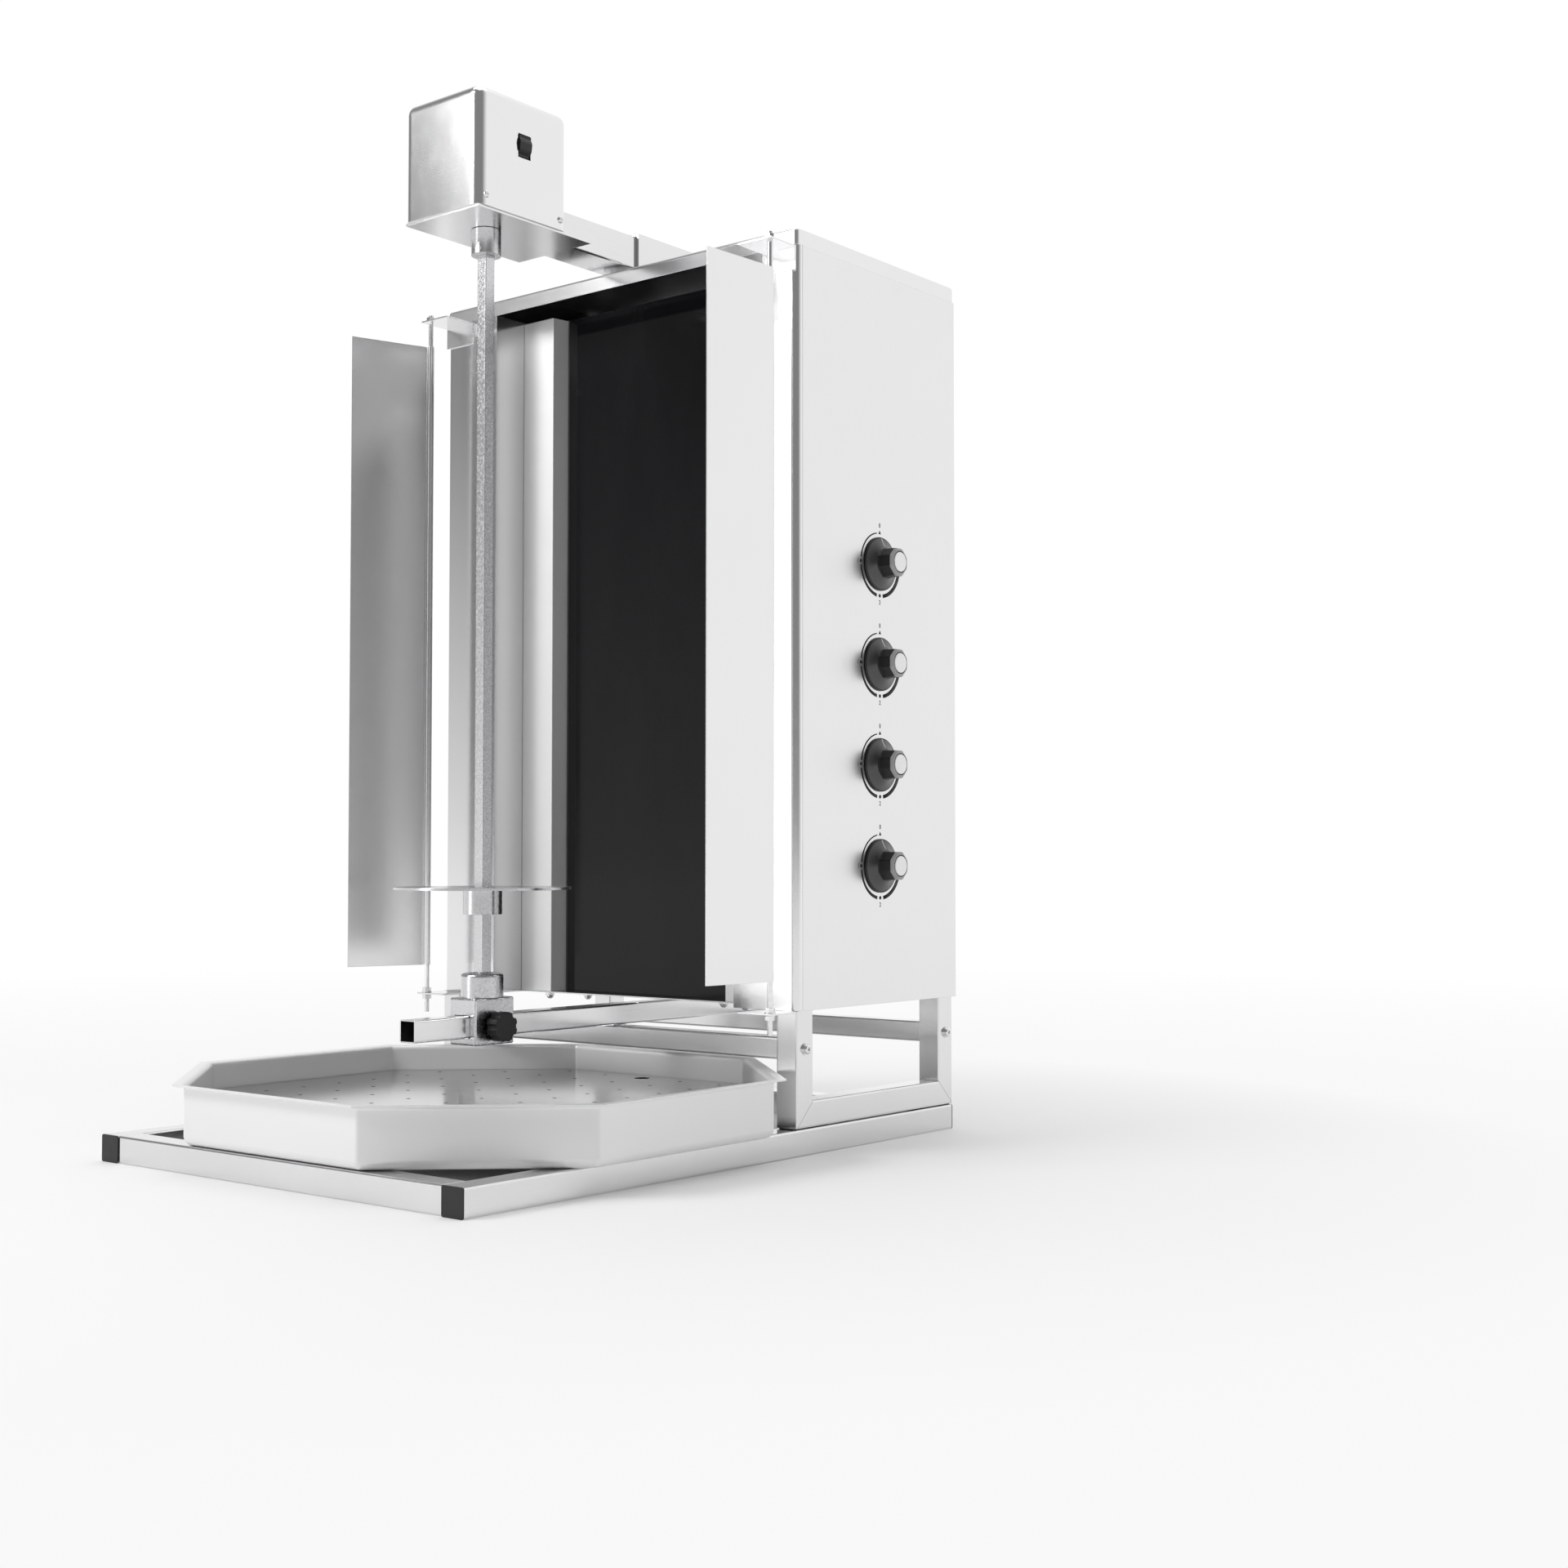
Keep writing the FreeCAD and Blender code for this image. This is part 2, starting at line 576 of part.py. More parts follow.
def column_shell(side, hand):
    """Front, inner and rear sheet of a column in one folded piece."""
    body = new_body(f"shell_{side}")
    sign = "" if hand > 0 else "-"
    item = new_sketch(body, f"shell_plan_{side}", "XY_Plane", "frame_top")

    def at(x, y):
        return (f"{sign}({x})", y)

    inner = "half_width - column_width"
    edge = "front + corner_line"
    sheet_in = "sheet_metal"
    rear_end = "half_width - sheet_metal - panel_gap"
    outline(item, [at("half_width", edge), at("half_width", "front"), at(inner, "front"), at(inner, "rear"),
                   at(rear_end, "rear"), at(rear_end, f"rear - {sheet_in}"),
                   at(f"{inner} + {sheet_in}", f"rear - {sheet_in}"),
                   at(f"{inner} + {sheet_in}", f"front + {sheet_in}"),
                   at(f"half_width - {sheet_in}", f"front + {sheet_in}"),
                   at(f"half_width - {sheet_in}", edge)])
    solid = pad(body, f"shell_pad_{side}", item, "column_top - frame_top")
    doc.recompute()

    def upright_at(x, y):
        for number, edge_item in enumerate(solid.Shape.Edges, 1):
            point = edge_item.BoundBox.Center
            upright = edge_item.BoundBox.ZLength > 100
            if upright and abs(point.x - hand * x) < 0.01 and abs(point.y - y) < 0.01:
                return f"Edge{number}"
        raise ValueError("no upright edge there")

    metal = dim("sheet_metal")
    fillet = body.newObject("PartDesign::Fillet", f"shell_round_{side}")
    fillet.Base = (solid, [upright_at(dim("half_width"), dim("front"))])
    bind(fillet, "Radius", "corner_round")
    doc.recompute()
    solid = body.Tip
    inside = body.newObject("PartDesign::Fillet", f"shell_bend_{side}")
    inside.Base = (solid, [upright_at(dim("half_width") - metal, dim("front") + metal)])
    bind(inside, "Radius", "corner_round - sheet_metal")
    return keep(body, f"column_shell_{side}")


def side_panel(side, hand):
    x0, x1 = mirror_x(hand, "half_width - sheet_metal", "half_width")
    low = (x0, "front + corner_line + panel_gap", "frame_top")
    panel = span(f"panel_{side}", low, (x1, "rear", "column_top"))
    if hand < 0:
        return keep(panel, f"side_panel_{side}")
    start = "half_width - sheet_metal - 1"
    holes = [rod(f"panel_hole_{n}", "spindle_hole", "sheet_metal + 2",
                 (start, "front + knob_depth", f"knob_first + {n} * knob_pitch"), "x")
             for n in range(4)]
    return keep(cut("panel_drilled", panel, *holes), f"side_panel_{side}")


def column_floor(side, hand):
    x0, x1 = mirror_x(hand, "half_width - column_width + sheet_metal", "half_width - sheet_metal - panel_gap")
    plate = span(f"floor_{side}", (x0, "front + corner_round", "frame_top"),
                 (x1, "rear - sheet_metal", "frame_top + sheet_metal"))
    if hand < 0:
        return keep(plate, f"column_floor_{side}")
    hole = rod("floor_hole", "gland_bore + 3", "sheet_metal + 2", ("gland_x", "gland_y", "frame_top - 1"))
    return keep(cut("floor_drilled", plate, hole), f"column_floor_{side}")


def cable_gland():
    """Hexagon and dome below the column, and a thread through its floor."""
    def at(level):
        return ("gland_x", "gland_y", level)

    hexagon = prism("gland_hexagon", 6, "gland_radius", "gland_nut", at("frame_top - gland_nut"))
    dome = cone("gland_dome", "gland_bore + gland_nose", "gland_radius - gland_nose",
                "gland_height - gland_nut", at("frame_top - gland_height"))
    thread = rod("gland_thread", "gland_bore + gland_wall", "gland_inside", at("frame_top"))
    bore = rod("gland_hole", "gland_bore", "gland_height + gland_inside + 2",
               at("frame_top - gland_height - 1"))
    return keep(cut("gland", fuse("gland_solid", hexagon, dome, thread), bore), "cable_gland")


def energy_regulators():
    boxes = []
    for n in range(4):
        level = f"knob_first + {n} * knob_pitch"
        x1 = "half_width - sheet_metal - regulator_gap"
        block = span(f"regulator_{n}", (f"{x1} - regulator_depth", "front + knob_depth - regulator / 2",
                                        f"{level} - regulator / 2"),
                     (x1, "front + knob_depth + regulator / 2", f"{level} + regulator / 2"))
        bore = rod(f"regulator_bore_{n}", "spindle_radius + spindle_play", "regulator_depth",
                         (f"{x1} - regulator_depth + 4", "front + knob_depth", level), "x")
        boxes.append(cut(f"regulator_cut_{n}", block, bore))
    return keep(group("regulators", *boxes), "energy_regulators")


def terminal_block():
    x0 = "half_width - column_width + terminal_inset"
    y0, y1 = "rear - terminal_rear - terminal_depth", "rear - terminal_rear"
    z0 = "frame_top + sheet_metal"
    block = span("terminal_body", (x0, y0, z0), (f"{x0} + terminal_width", y1, f"{z0} + terminal_height"))
    slots = []
    for n in range(5):
        low = f"{x0} + terminal_slot + {n} * terminal_pitch"
        slots.append(span(f"terminal_slot_{n}", (low, f"{y0} - 1", f"{z0} + terminal_base"),
                          (f"{low} + terminal_slot", f"{y1} + 1", f"{z0} + terminal_height + 1")))
    return keep(cut("terminals", block, *slots), "terminal_block")


# ---- heater ----

def surround(side, hand):
    """Channel beside the glass: a face ahead of the glass, a slanted inner return and a square outer one."""
    body = new_body(f"surround_body_{side}")
    plan = new_sketch(body, f"surround_plan_{side}", "XY_Plane", "heater_bottom")
    sign = "" if hand > 0 else "-"
    back_x = "glass_half + seal + surround_gap"
    near_x = f"{back_x} + surround_lean"
    far_x = "half_width - column_width - surround_gap"
    face_y, back_y = "front + surround_depth", "front + surround_back"
    inside_y = f"{face_y} + sheet_metal"

    def at(x, y):
        return (f"{sign}({x})", y)

    outline(plan, [at(back_x, back_y), at(near_x, face_y), at(far_x, face_y), at(far_x, back_y),
                   at(f"{far_x} - sheet_metal", back_y), at(f"{far_x} - sheet_metal", inside_y),
                   at(f"{near_x} + sheet_metal", inside_y), at(f"{back_x} + sheet_metal", back_y)])
    solid = pad(body, f"surround_pad_{side}", plan, "heater_top - heater_bottom")
    doc.recompute()
    front_y = dim("front") + dim("surround_depth")
    corners = [f"Edge{n}" for n, e in enumerate(solid.Shape.Edges, 1)
               if e.BoundBox.ZLength > 100 and abs(e.BoundBox.Center.y - front_y) < 0.01]
    bend = body.newObject("PartDesign::Fillet", f"surround_bend_{side}")
    bend.Base = (solid, corners)
    bind(bend, "Radius", "sheet_metal")
    return keep(body, f"glass_surround_{side}")


def heater_floor():
    edge = "half_width - column_width - surround_gap"
    low = (f"-({edge})", "front + surround_depth", "heater_bottom - floor_plate - surround_gap")
    plate = span("heater_floor_plate", low, (edge, "rear - 2", "heater_bottom - surround_gap"))
    return keep(plate, "heater_floor")


def ceramic_glass():
    low = ("-glass_half", "front + glass_depth", "heater_bottom")
    high = ("glass_half", "front + glass_depth + glass_thick", "heater_top")
    return keep(span("glass", low, high), "ceramic_glass")


def glass_seal():
    low = ("-(glass_half + seal)", "front + glass_depth + 0.5", "heater_bottom")
    high = ("glass_half + seal", "front + glass_depth + seal_depth", "heater_top")
    space = span("seal_space", ("-glass_half", "front + glass_depth", "heater_bottom - 1"),
                 ("glass_half", "front + glass_depth + glass_thick", "heater_top + 1"))
    window = span("seal_window", ("-(glass_half - 8)", "front + glass_depth", "heater_bottom + 8"),
                  ("glass_half - 8", "front + glass_depth + 10", "heater_top - 8"))
    return keep(cut("seal_ring", span("seal_block", low, high), space, window), "glass_seal")


def heater_housing():
    x, y0, y1 = "housing_half", "front + housing_front", "front + housing_back"
    low, high = (f"-{x}", y0, "heater_bottom + 1"), (x, y1, "heater_top - 1")
    inner_low = (f"-({x} - housing_sheet)", f"{y0} - 1", "heater_bottom + 1 + housing_sheet")
    inner_high = (f"{x} - housing_sheet", f"{y1} - housing_sheet", "heater_top - 1 - housing_sheet")
    box = span("housing_block", low, high)
    return keep(cut("housing", box, span("housing_space", inner_low, inner_high)), "heater_housing")


def zone_box(name, n, half_x, half_z, y0, y1):
    level = f"zone_first + {n} * zone_pitch"
    low, high = f"{level} - ({half_z})", f"{level} + ({half_z})"
    return span(f"{name}_{n}", (f"-({half_x})", y0, low), (half_x, y1, high))


def radiant_heaters():
    dishes = []
    for n in range(4):
        y0, y1 = "front + housing_front + 1", "front + housing_front + 1 + dish_depth"
        block = zone_box("dish", n, "dish_width / 2", "dish_height / 2", y0, y1)
        hollow = zone_box("dish_space", n, "dish_width / 2 - dish_rim", "dish_height / 2 - dish_rim",
                          f"{y0} - 1", f"{y1} - dish_floor")
        dishes.append(cut(f"dish_cut_{n}", block, hollow))
    return keep(group("dishes", *dishes), "radiant_heaters")


def heating_ribbons():
    """Upright runs of resistance ribbon on the floor of each dish, joined at alternate ends."""
    ribbons = []
    y1 = "front + housing_front + 1 + dish_depth - dish_floor"
    y0 = f"{y1} - ribbon_width"
    last = 4
    for n in range(4):
        level = f"zone_first + {n} * zone_pitch"
        low, high = f"{level} - ribbon_half", f"{level} + ribbon_half"
        runs = []
        for k in range(-last, last + 1):
            x0, x1 = f"{k} * ribbon_pitch - ribbon_thick / 2", f"{k} * ribbon_pitch + ribbon_thick / 2"
            runs.append(span(f"ribbon_{n}_{k + last}", (x0, y0, low), (x1, y1, high)))
            if k < last:
                z0, z1 = (f"{high} - ribbon_thick", high) if k % 2 else (low, f"{low} + ribbon_thick")
                name = f"ribbon_turn_{n}_{k + last}"
                runs.append(span(name, (x0, y0, z0), (f"{x1} + ribbon_pitch", y1, z1)))
        ribbons.append(fuse(f"ribbon_fused_{n}", *runs))
    return keep(group("ribbons", *ribbons), "heating_ribbons")


def insulation_board():
    y0 = "front + housing_front + 1 + dish_depth"
    low = ("-(housing_half - board_inset)", y0, "heater_bottom + 6")
    high = ("housing_half - board_inset", f"{y0} + board_thick", "heater_top - 6")
    return keep(span("board", low, high), "insulation_board")


def rear_cover():
    """Rear sheet between the columns, with two banks of vent slots."""
    edge = "half_width - column_width - 0.5"
    plate = span("cover_plate", (f"-({edge})", "rear - sheet_metal", "heater_bottom"),
                 (edge, "rear", "heater_top"))
    slots = []
    for bank in ("vent_low", "vent_high"):
        for n in range(9):
            level = f"{bank} + {n} * vent_pitch"
            slots.append(span(f"{bank}_{n}", ("-vent_half", "rear - 3", level),
                              ("vent_half", "rear + 1", f"{level} + vent_slot")))
    return keep(cut("cover_slotted", plate, *slots), "rear_cover")


def dome_nut(name, x, depth):
    """A hexagon with a domed cap below it, under the heater floor."""
    underside = "heater_bottom - floor_plate - surround_gap"
    at_y = f"front + {depth}"
    hexagon = prism(f"dome_hex_{name}", 6, "dome_radius", "dome_hexagon",
                    (x, at_y, f"{underside} - dome_hexagon"))
    ball = doc.addObject("Part::Sphere", f"dome_{name}")
    bind(ball, "Radius", "dome_ball")
    place(ball, (x, at_y, f"{underside} - dome_height * 0.5"))
    around = "2 * dome_radius"
    lower = span(f"dome_keep_{name}", (f"{x} - {around}", f"{at_y} - {around}", "frame_top - 20"),
                 (f"{x} + {around}", f"{at_y} + {around}", f"{underside} - 1"))
    cap = doc.addObject("Part::Common", f"dome_cap_{name}")
    cap.Base = ball
    cap.Tool = lower
    return fuse(f"dome_nut_{name}", hexagon, cap)


def dome_nuts():
    nuts = []
    for side, hand in SIDES:
        sign = "" if hand > 0 else "-"
        nuts.append(dome_nut(f"outer_{side}", f"{sign}dome_outer_x", "dome_outer_depth"))
        nuts.append(dome_nut(f"inner_{side}", f"{sign}dome_inner_x", "dome_inner_depth"))
    return keep(group("domes", *nuts), "dome_nuts")


# ---- knobs ----

def zone_knob(number):
    """Conical skirt, octagonal grip and spindle, made along x and set at its height on the panel."""
    level = f"knob_first + {number - 1} * knob_pitch"
    base = "half_width + knob_gap"
    at_y = "front + knob_depth"
    name = f"knob_{number}"
    edge = rod(name + "_edge", "skirt_radius", "skirt_edge", (base, at_y, level), "x")
    skirt = cone(name + "_skirt", "skirt_radius", "skirt_top", "skirt_depth - skirt_edge",
                 (f"{base} + skirt_edge", at_y, level), "x")
    circum = "grip_flats / 2 / 0.9239"
    grip_start = f"{base} + skirt_depth - 2"
    grip_end = "half_width + knob_reach - cap_thick"
    grip = prism(name + "_grip", 8, circum, f"{grip_end} - bevel - ({grip_start})",
                 (grip_start, at_y, level), "x")
    grip.Placement.Rotation = FreeCAD.Rotation(V(1, 0, 0), OCTANT / 2).multiply(TURN["x"])
    bevel = cone(name + "_bevel", "grip_flats / 2", "grip_flats / 2 - bevel", "bevel",
                 (f"{grip_end} - bevel", at_y, level), "x")
    spindle = rod(name + "_spindle", "spindle_radius", f"spindle_depth + knob_gap + 1",
                        ("half_width - spindle_depth", at_y, level), "x")
    return keep(fuse(name, edge, skirt, grip, bevel, spindle), f"zone_knob_{number}")


def knob_cap(number):
    level = f"knob_first + {number - 1} * knob_pitch"
    start = ("half_width + knob_reach - cap_thick", "front + knob_depth", level)
    return keep(rod(f"cap_{number}", "cap_radius", "cap_thick", start, "x"), f"knob_cap_{number}")


# ---- side shields ----

def side_shield(side, hand):
    """A flat sheet that is curled round its rod and turned to where it rests."""
    curl = dim("rod_radius") + dim("curl_play") + dim("shield_sheet")
    sheet_in, length = dim("shield_sheet"), dim("shield_length")
    low, high = dim("shield_bottom"), dim("shield_top")
    ring = Part.makeCylinder(curl, high - low).cut(Part.makeCylinder(curl - sheet_in, high - low))
    x0 = curl - sheet_in if hand > 0 else -curl
    flat = Part.makeBox(sheet_in, length, high - low, V(x0, -length, 0))
    bore = Part.makeCylinder(curl - sheet_in, high - low)
    shape = ring.fuse(flat).cut(bore).removeSplitter()
    item = doc.addObject("Part::Feature", f"shield_{side}")
    item.Shape = shape
    item.Placement = FreeCAD.Placement(V(hand * dim("rod_x"), dim("front") - dim("rod_ahead"), low),
                                       FreeCAD.Rotation(V(0, 0, 1), -hand * dim(f"{side}_turn")))
    return keep(item, f"side_shield_{side}")


def rod_at(hand):
    return ("rod_x" if hand > 0 else "-rod_x", "front - rod_ahead")


def shield_rods():
    rods = [rod(f"rod_{side}", "rod_radius", "rod_top - rod_bottom", (*rod_at(hand), "rod_bottom"))
            for side, hand in SIDES]
    return keep(group("rods", *rods), "shield_rods")


def rod_brackets():
    brackets = []
    for side, hand in SIDES:
        x, y = rod_at(hand)
        for rank, level in (("low", "bracket_low"), ("high", "bracket_high")):
            x0, x1 = mirror_x(hand, "rod_x - bracket_inner", "rod_x + bracket_outer")
            plate = span(f"bracket_{rank}_{side}", (x0, f"{y} - bracket_nose", level),
                         (x1, "front", f"{level} + bracket_thick"))
            if rank == "low":
                t0, t1 = mirror_x(hand, "rod_x - bracket_inner", "half_width - tube - 1")
                tab = span(f"bracket_tab_{rank}_{side}", (t0, "front", level),
                           (t1, "front + bracket_foot", f"{level} + bracket_thick"))
            else:
                tab = span(f"bracket_tab_{rank}_{side}",
                           (x0, "front - bracket_thick", f"{level} - bracket_tab"), (x1, "front", level))
            solid = fuse(f"bracket_solid_{rank}_{side}", plate, tab)
            hole = rod(f"bracket_hole_{rank}_{side}", "rod_radius", "bracket_thick * 3",
                       (x, y, f"{level} - bracket_thick"))
            brackets.append(cut(f"bracket_cut_{rank}_{side}", solid, hole))
    return keep(group("brackets", *brackets), "rod_brackets")


def rod_nuts():
    """A nut and a washer on each face of the lower bracket, and a nut over the upper one."""
    nuts = []
    for side, hand in SIDES:
        x, y = rod_at(hand)
        places = (("under", "bracket_low - washer_thick - nut_height", "bracket_low - washer_thick"),
                  ("over", "bracket_low + bracket_thick + washer_thick", "bracket_low + bracket_thick"),
                  ("top", "bracket_high + bracket_thick", None))
        for rank, level, washer in places:
            name = f"rod_nut_{rank}_{side}"
            solid = [prism(name + "_hex", 6, "nut_flats / 2 / 0.866", "nut_height", (x, y, level))]
            if washer:
                solid.append(rod(name + "_washer", "rod_washer", "washer_thick", (x, y, washer)))
            whole = fuse(name + "_solid", *solid) if washer else solid[0]
            hole = rod(name + "_hole", "rod_radius", "nut_height * 4", (x, y, f"{level} - nut_height"))
            nuts.append(cut(name, whole, hole))
    return keep(group("shield_nuts", *nuts), "rod_nuts")


# ---- drip tray ----

TRAY_WALL = ("tray_half", "tray_length", "tray_side", "tray_end")
TRAY_RIM = ("rim_half", "rim_length", "rim_side", "rim_end")


def drip_tray():
    """An open octagonal pan of sheet with a flat flange for a rim."""
    body = new_body("tray")
    floor = new_sketch(body, "tray_floor", "XY_Plane", "tray_bottom")
    outline(floor, octagon(*TRAY_WALL))
    solid = pad(body, "tray_block", floor, "tray_top - tray_bottom")
    doc.recompute()

    def edges_where(feature, test):
        return [f"Edge{n}" for n, e in enumerate(feature.Shape.Edges, 1) if test(e.BoundBox)]

    upright = body.newObject("PartDesign::Fillet", "tray_corners")
    upright.Base = (solid, edges_where(solid, lambda b: b.ZLength > 10))
    bind(upright, "Radius", "tray_corner")
    doc.recompute()
    lower = body.newObject("PartDesign::Fillet", "tray_lower_edge")
    lower.Base = (upright, edges_where(upright, lambda b: b.ZMax < dim("tray_bottom") + 0.01))
    bind(lower, "Radius", "tray_round")
    doc.recompute()
    top = [f"Face{n}" for n, f in enumerate(lower.Shape.Faces, 1) if f.BoundBox.ZMin > dim("tray_top") - 0.01]
    shell = body.newObject("PartDesign::Thickness", "tray_shell")
    shell.Base = (lower, top)
    shell.Mode = 0
    shell.Join = 0
    shell.Reversed = True
    bind(shell, "Value", "tray_sheet")
    doc.recompute()
    rim = new_sketch(body, "tray_rim", "XY_Plane", "tray_top - tray_sheet")
    outline(rim, octagon(*TRAY_RIM))
    outline(rim, octagon(*TRAY_WALL, shrink="tray_sheet / 2"))
    flange = pad(body, "tray_flange", rim, "tray_sheet")
    doc.recompute()

    def wall_edges(feature, level, inner):
        """Edges at one level that follow the wall's inner or outer face."""
        limit = dim("tray_half") - (dim("tray_sheet") if inner else 0)
        found = []
        for number, edge in enumerate(feature.Shape.Edges, 1):
            box, point = edge.BoundBox, edge.BoundBox.Center
            flat = box.ZLength < 0.01 and abs(point.z - level) < 0.01
            x, y = abs(point.x), abs(point.y - dim("spit_y"))
            slope = (dim("tray_length") - dim("tray_side")) / (dim("tray_half") - dim("tray_end"))
            lean = (x - dim("tray_half")) * slope + y - dim("tray_side")
            past = max(x - limit, y - limit + dim("tray_half") - dim("tray_length"),
                       lean / math.hypot(1, slope) + (dim("tray_sheet") if inner else 0))
            if flat and abs(past) < 0.8 * dim("tray_sheet"):
                found.append(f"Edge{number}")
        return found

    under = body.newObject("PartDesign::Fillet", "flange_under_bend")
    under.Base = (flange, wall_edges(flange, dim("tray_top") - dim("tray_sheet"), False))
    bind(under, "Radius", "rim_bend - tray_sheet")
    doc.recompute()
    over = body.newObject("PartDesign::Fillet", "flange_over_bend")
    over.Base = (under, wall_edges(under, dim("tray_top"), True))
    bind(over, "Radius", "rim_bend")
    return keep(body, "drip_tray")


def drain_places():
    """Holes of the insert: whole rows and columns that stay clear of the slanted corners."""
    reach = dim("tray_half") - 22, dim("tray_length") - 22
    slant = dim("tray_half") + dim("tray_side") - 34
    for row in range(-5, 6):
        for column in range(-4, 5):
            x, y = column * dim("drain_x"), row * dim("drain_y")
            clear = abs(x) < reach[0] and abs(y) < reach[1] and abs(x) + abs(y) * 1.1 < slant + abs(y) * 0.06
            if clear:
                yield column, row


def tray_insert():
    body = new_body("insert")
    plate = new_sketch(body, "insert_plate", "XY_Plane", "insert_level - insert_sheet")
    outline(plate, octagon(*TRAY_WALL, shrink="tray_sheet + insert_play"))
    pad(body, "insert_pad", plate, "insert_sheet")
    feet = []
    for x, y in ((1, 1), (1, -1), (-1, 1), (-1, -1)):
        x0, x1 = mirror_x(x, "tray_half - foot_inner", "tray_half - foot_outer")
        y0, y1 = ("foot_near", "foot_far") if y > 0 else ("-foot_far", "-foot_near")
        y0, y1 = f"spit_y + {y0}", f"spit_y + {y1}"
        low = (x0, y0, "tray_bottom + tray_sheet + 0.3")
        block = span(f"insert_foot_{x}_{y}", low, (x1, y1, "insert_level - insert_sheet"))
        space = span(f"insert_foot_space_{x}_{y}", (f"{x0} + insert_sheet", f"{y0} - 1", "tray_bottom"),
                     (f"{x1} - insert_sheet", f"{y1} + 1", "insert_level - 2 * insert_sheet"))
        feet.append(cut(f"insert_foot_cut_{x}_{y}", block, space))
    drains = []
    for column, row in drain_places():
        finger = column == 0 and abs(row) == 5
        radius = "finger_radius" if finger else "drain_radius"
        at = (f"{column} * drain_x", f"spit_y + {row} * drain_y", "insert_level - insert_sheet - 1")
        drains.append(rod(f"drain_{column + 4}_{row + 5}", radius, "insert_sheet + 2", at))
    return keep(cut("insert_drained", fuse("insert_on_feet", body, *feet), *drains), "tray_insert")


# ---- spit and carriage ----

def spit_shaft():
    square = span("shaft_square", ("-square / 2", "spit_y - square / 2", "bar_bottom"),
                  ("square / 2", "spit_y + square / 2", "bar_top"))
    pivot = rod("shaft_pivot", "pivot_radius", "pivot_length", ("0", "spit_y", "bar_bottom - pivot_length"))
    soft = rounded("shaft_soft", square, "square_round", along("z"))
    return keep(fuse("shaft", soft, pivot), "spit_shaft")


def meat_disc():
    plate = rod("disc_plate", "disc_radius", "disc_thick", ("0", "spit_y", "disc_level - disc_thick"))
    hub = rod("disc_hub", "hub_radius", "hub_height", ("0", "spit_y", "disc_level - disc_thick - hub_height"))
    half = "square / 2 + square_play"
    square = span("disc_square",
                  (f"-({half})", f"spit_y - ({half})", "disc_level - disc_thick - hub_height - 1"),
                  (half, f"spit_y + {half}", "disc_level + 1"))
    return keep(cut("disc", fuse("disc_solid", plate, hub), square), "meat_disc")


def spit_carriage():
    y0, y1 = "spit_y - carriage_length / 2", "spit_y + carriage_length / 2"
    bottom = "cross_bottom + cross_tube + beam_gap"
    block = span("carriage_block", ("-carriage_half", y0, "carriage_bottom"),
                 ("carriage_half", y1, "carriage_top"))
    soft = rounded("carriage_soft", block, "tube_round", lambda edge: True)
    channel = span("carriage_channel",
                   ("-cross_tube / 2 - carriage_play", f"{y0} - 1", f"{bottom} - carriage_play"),
                   ("cross_tube / 2 + carriage_play", f"{y1} + 1", f"{bottom} + cross_tube + carriage_play"))
    thread = rod("carriage_thread", "clamp_screw + 0.05", "carriage_half",
                       ("cross_tube / 2", "spit_y", "clamp_level"), "x")
    return keep(cut("carriage", soft, channel, thread), "spit_carriage")


def bearing_cup():
    cup = rod("cup_body", "cup_radius", "cup_height", ("0", "spit_y", "carriage_top"))

    def top_rim(edge):
        return edge.BoundBox.ZMin > dim("carriage_top") + dim("cup_height") - 0.01

    bore = rod("cup_bore", "pivot_radius + 0.05", "cup_height",
                     ("0", "spit_y", "bar_bottom - pivot_length - 0.3"))
    return keep(cut("cup", rounded("cup_soft", cup, "cup_round", top_rim), bore), "bearing_cup")


def carriage_clamp():
    """Fluted knob with its screw, on the right of the carriage."""
    start = "carriage_half + 4"
    knob = rod("clamp_body", "clamp_radius", "clamp_depth", (start, "spit_y", "clamp_level"), "x")
    neck = rod("neck", "clamp_neck", "clamp_gap",
               ("carriage_half + 0.5", "spit_y", "clamp_level"), "x")
    screw = rod("clamp_screw_shank", "clamp_screw", f"{start} - cross_tube / 2 - 0.3",
                      ("cross_tube / 2 + 0.3", "spit_y", "clamp_level"), "x")
    flutes = []
    for n in range(8):
        y = f"spit_y + flute_ring * {math.cos(math.radians(n * OCTANT)):.5f}"
        z = f"clamp_level + flute_ring * {math.sin(math.radians(n * OCTANT)):.5f}"
        flutes.append(rod(f"flute_{n}", "flute_radius", "clamp_depth + 2",
                          (f"{start} - 1", y, z), "x"))
    return keep(fuse("clamp", cut("clamp_fluted", knob, *flutes), neck, screw), "carriage_clamp")


# ---- roof, arm and drive ----

def roof_cover():
    low, high = ("-half_width", "front", "column_top"), ("half_width", "rear", "roof_top")
    block = rounded("roof_soft", span("roof_block", low, high), "roof_round",
                    lambda edge: edge.BoundBox.ZMax > dim("column_top") + 0.01)
    space = span("roof_space", ("-(half_width - sheet_metal)", "front + sheet_metal", "column_top - 1"),
                 ("half_width - sheet_metal", "rear - sheet_metal", "roof_top - sheet_metal"))
    soft_space = rounded("roof_space_soft", space, "roof_inner_round",
                         lambda edge: edge.BoundBox.ZMax > dim("column_top") + 0.01)
    return keep(cut("roof", block, soft_space), "roof_cover")


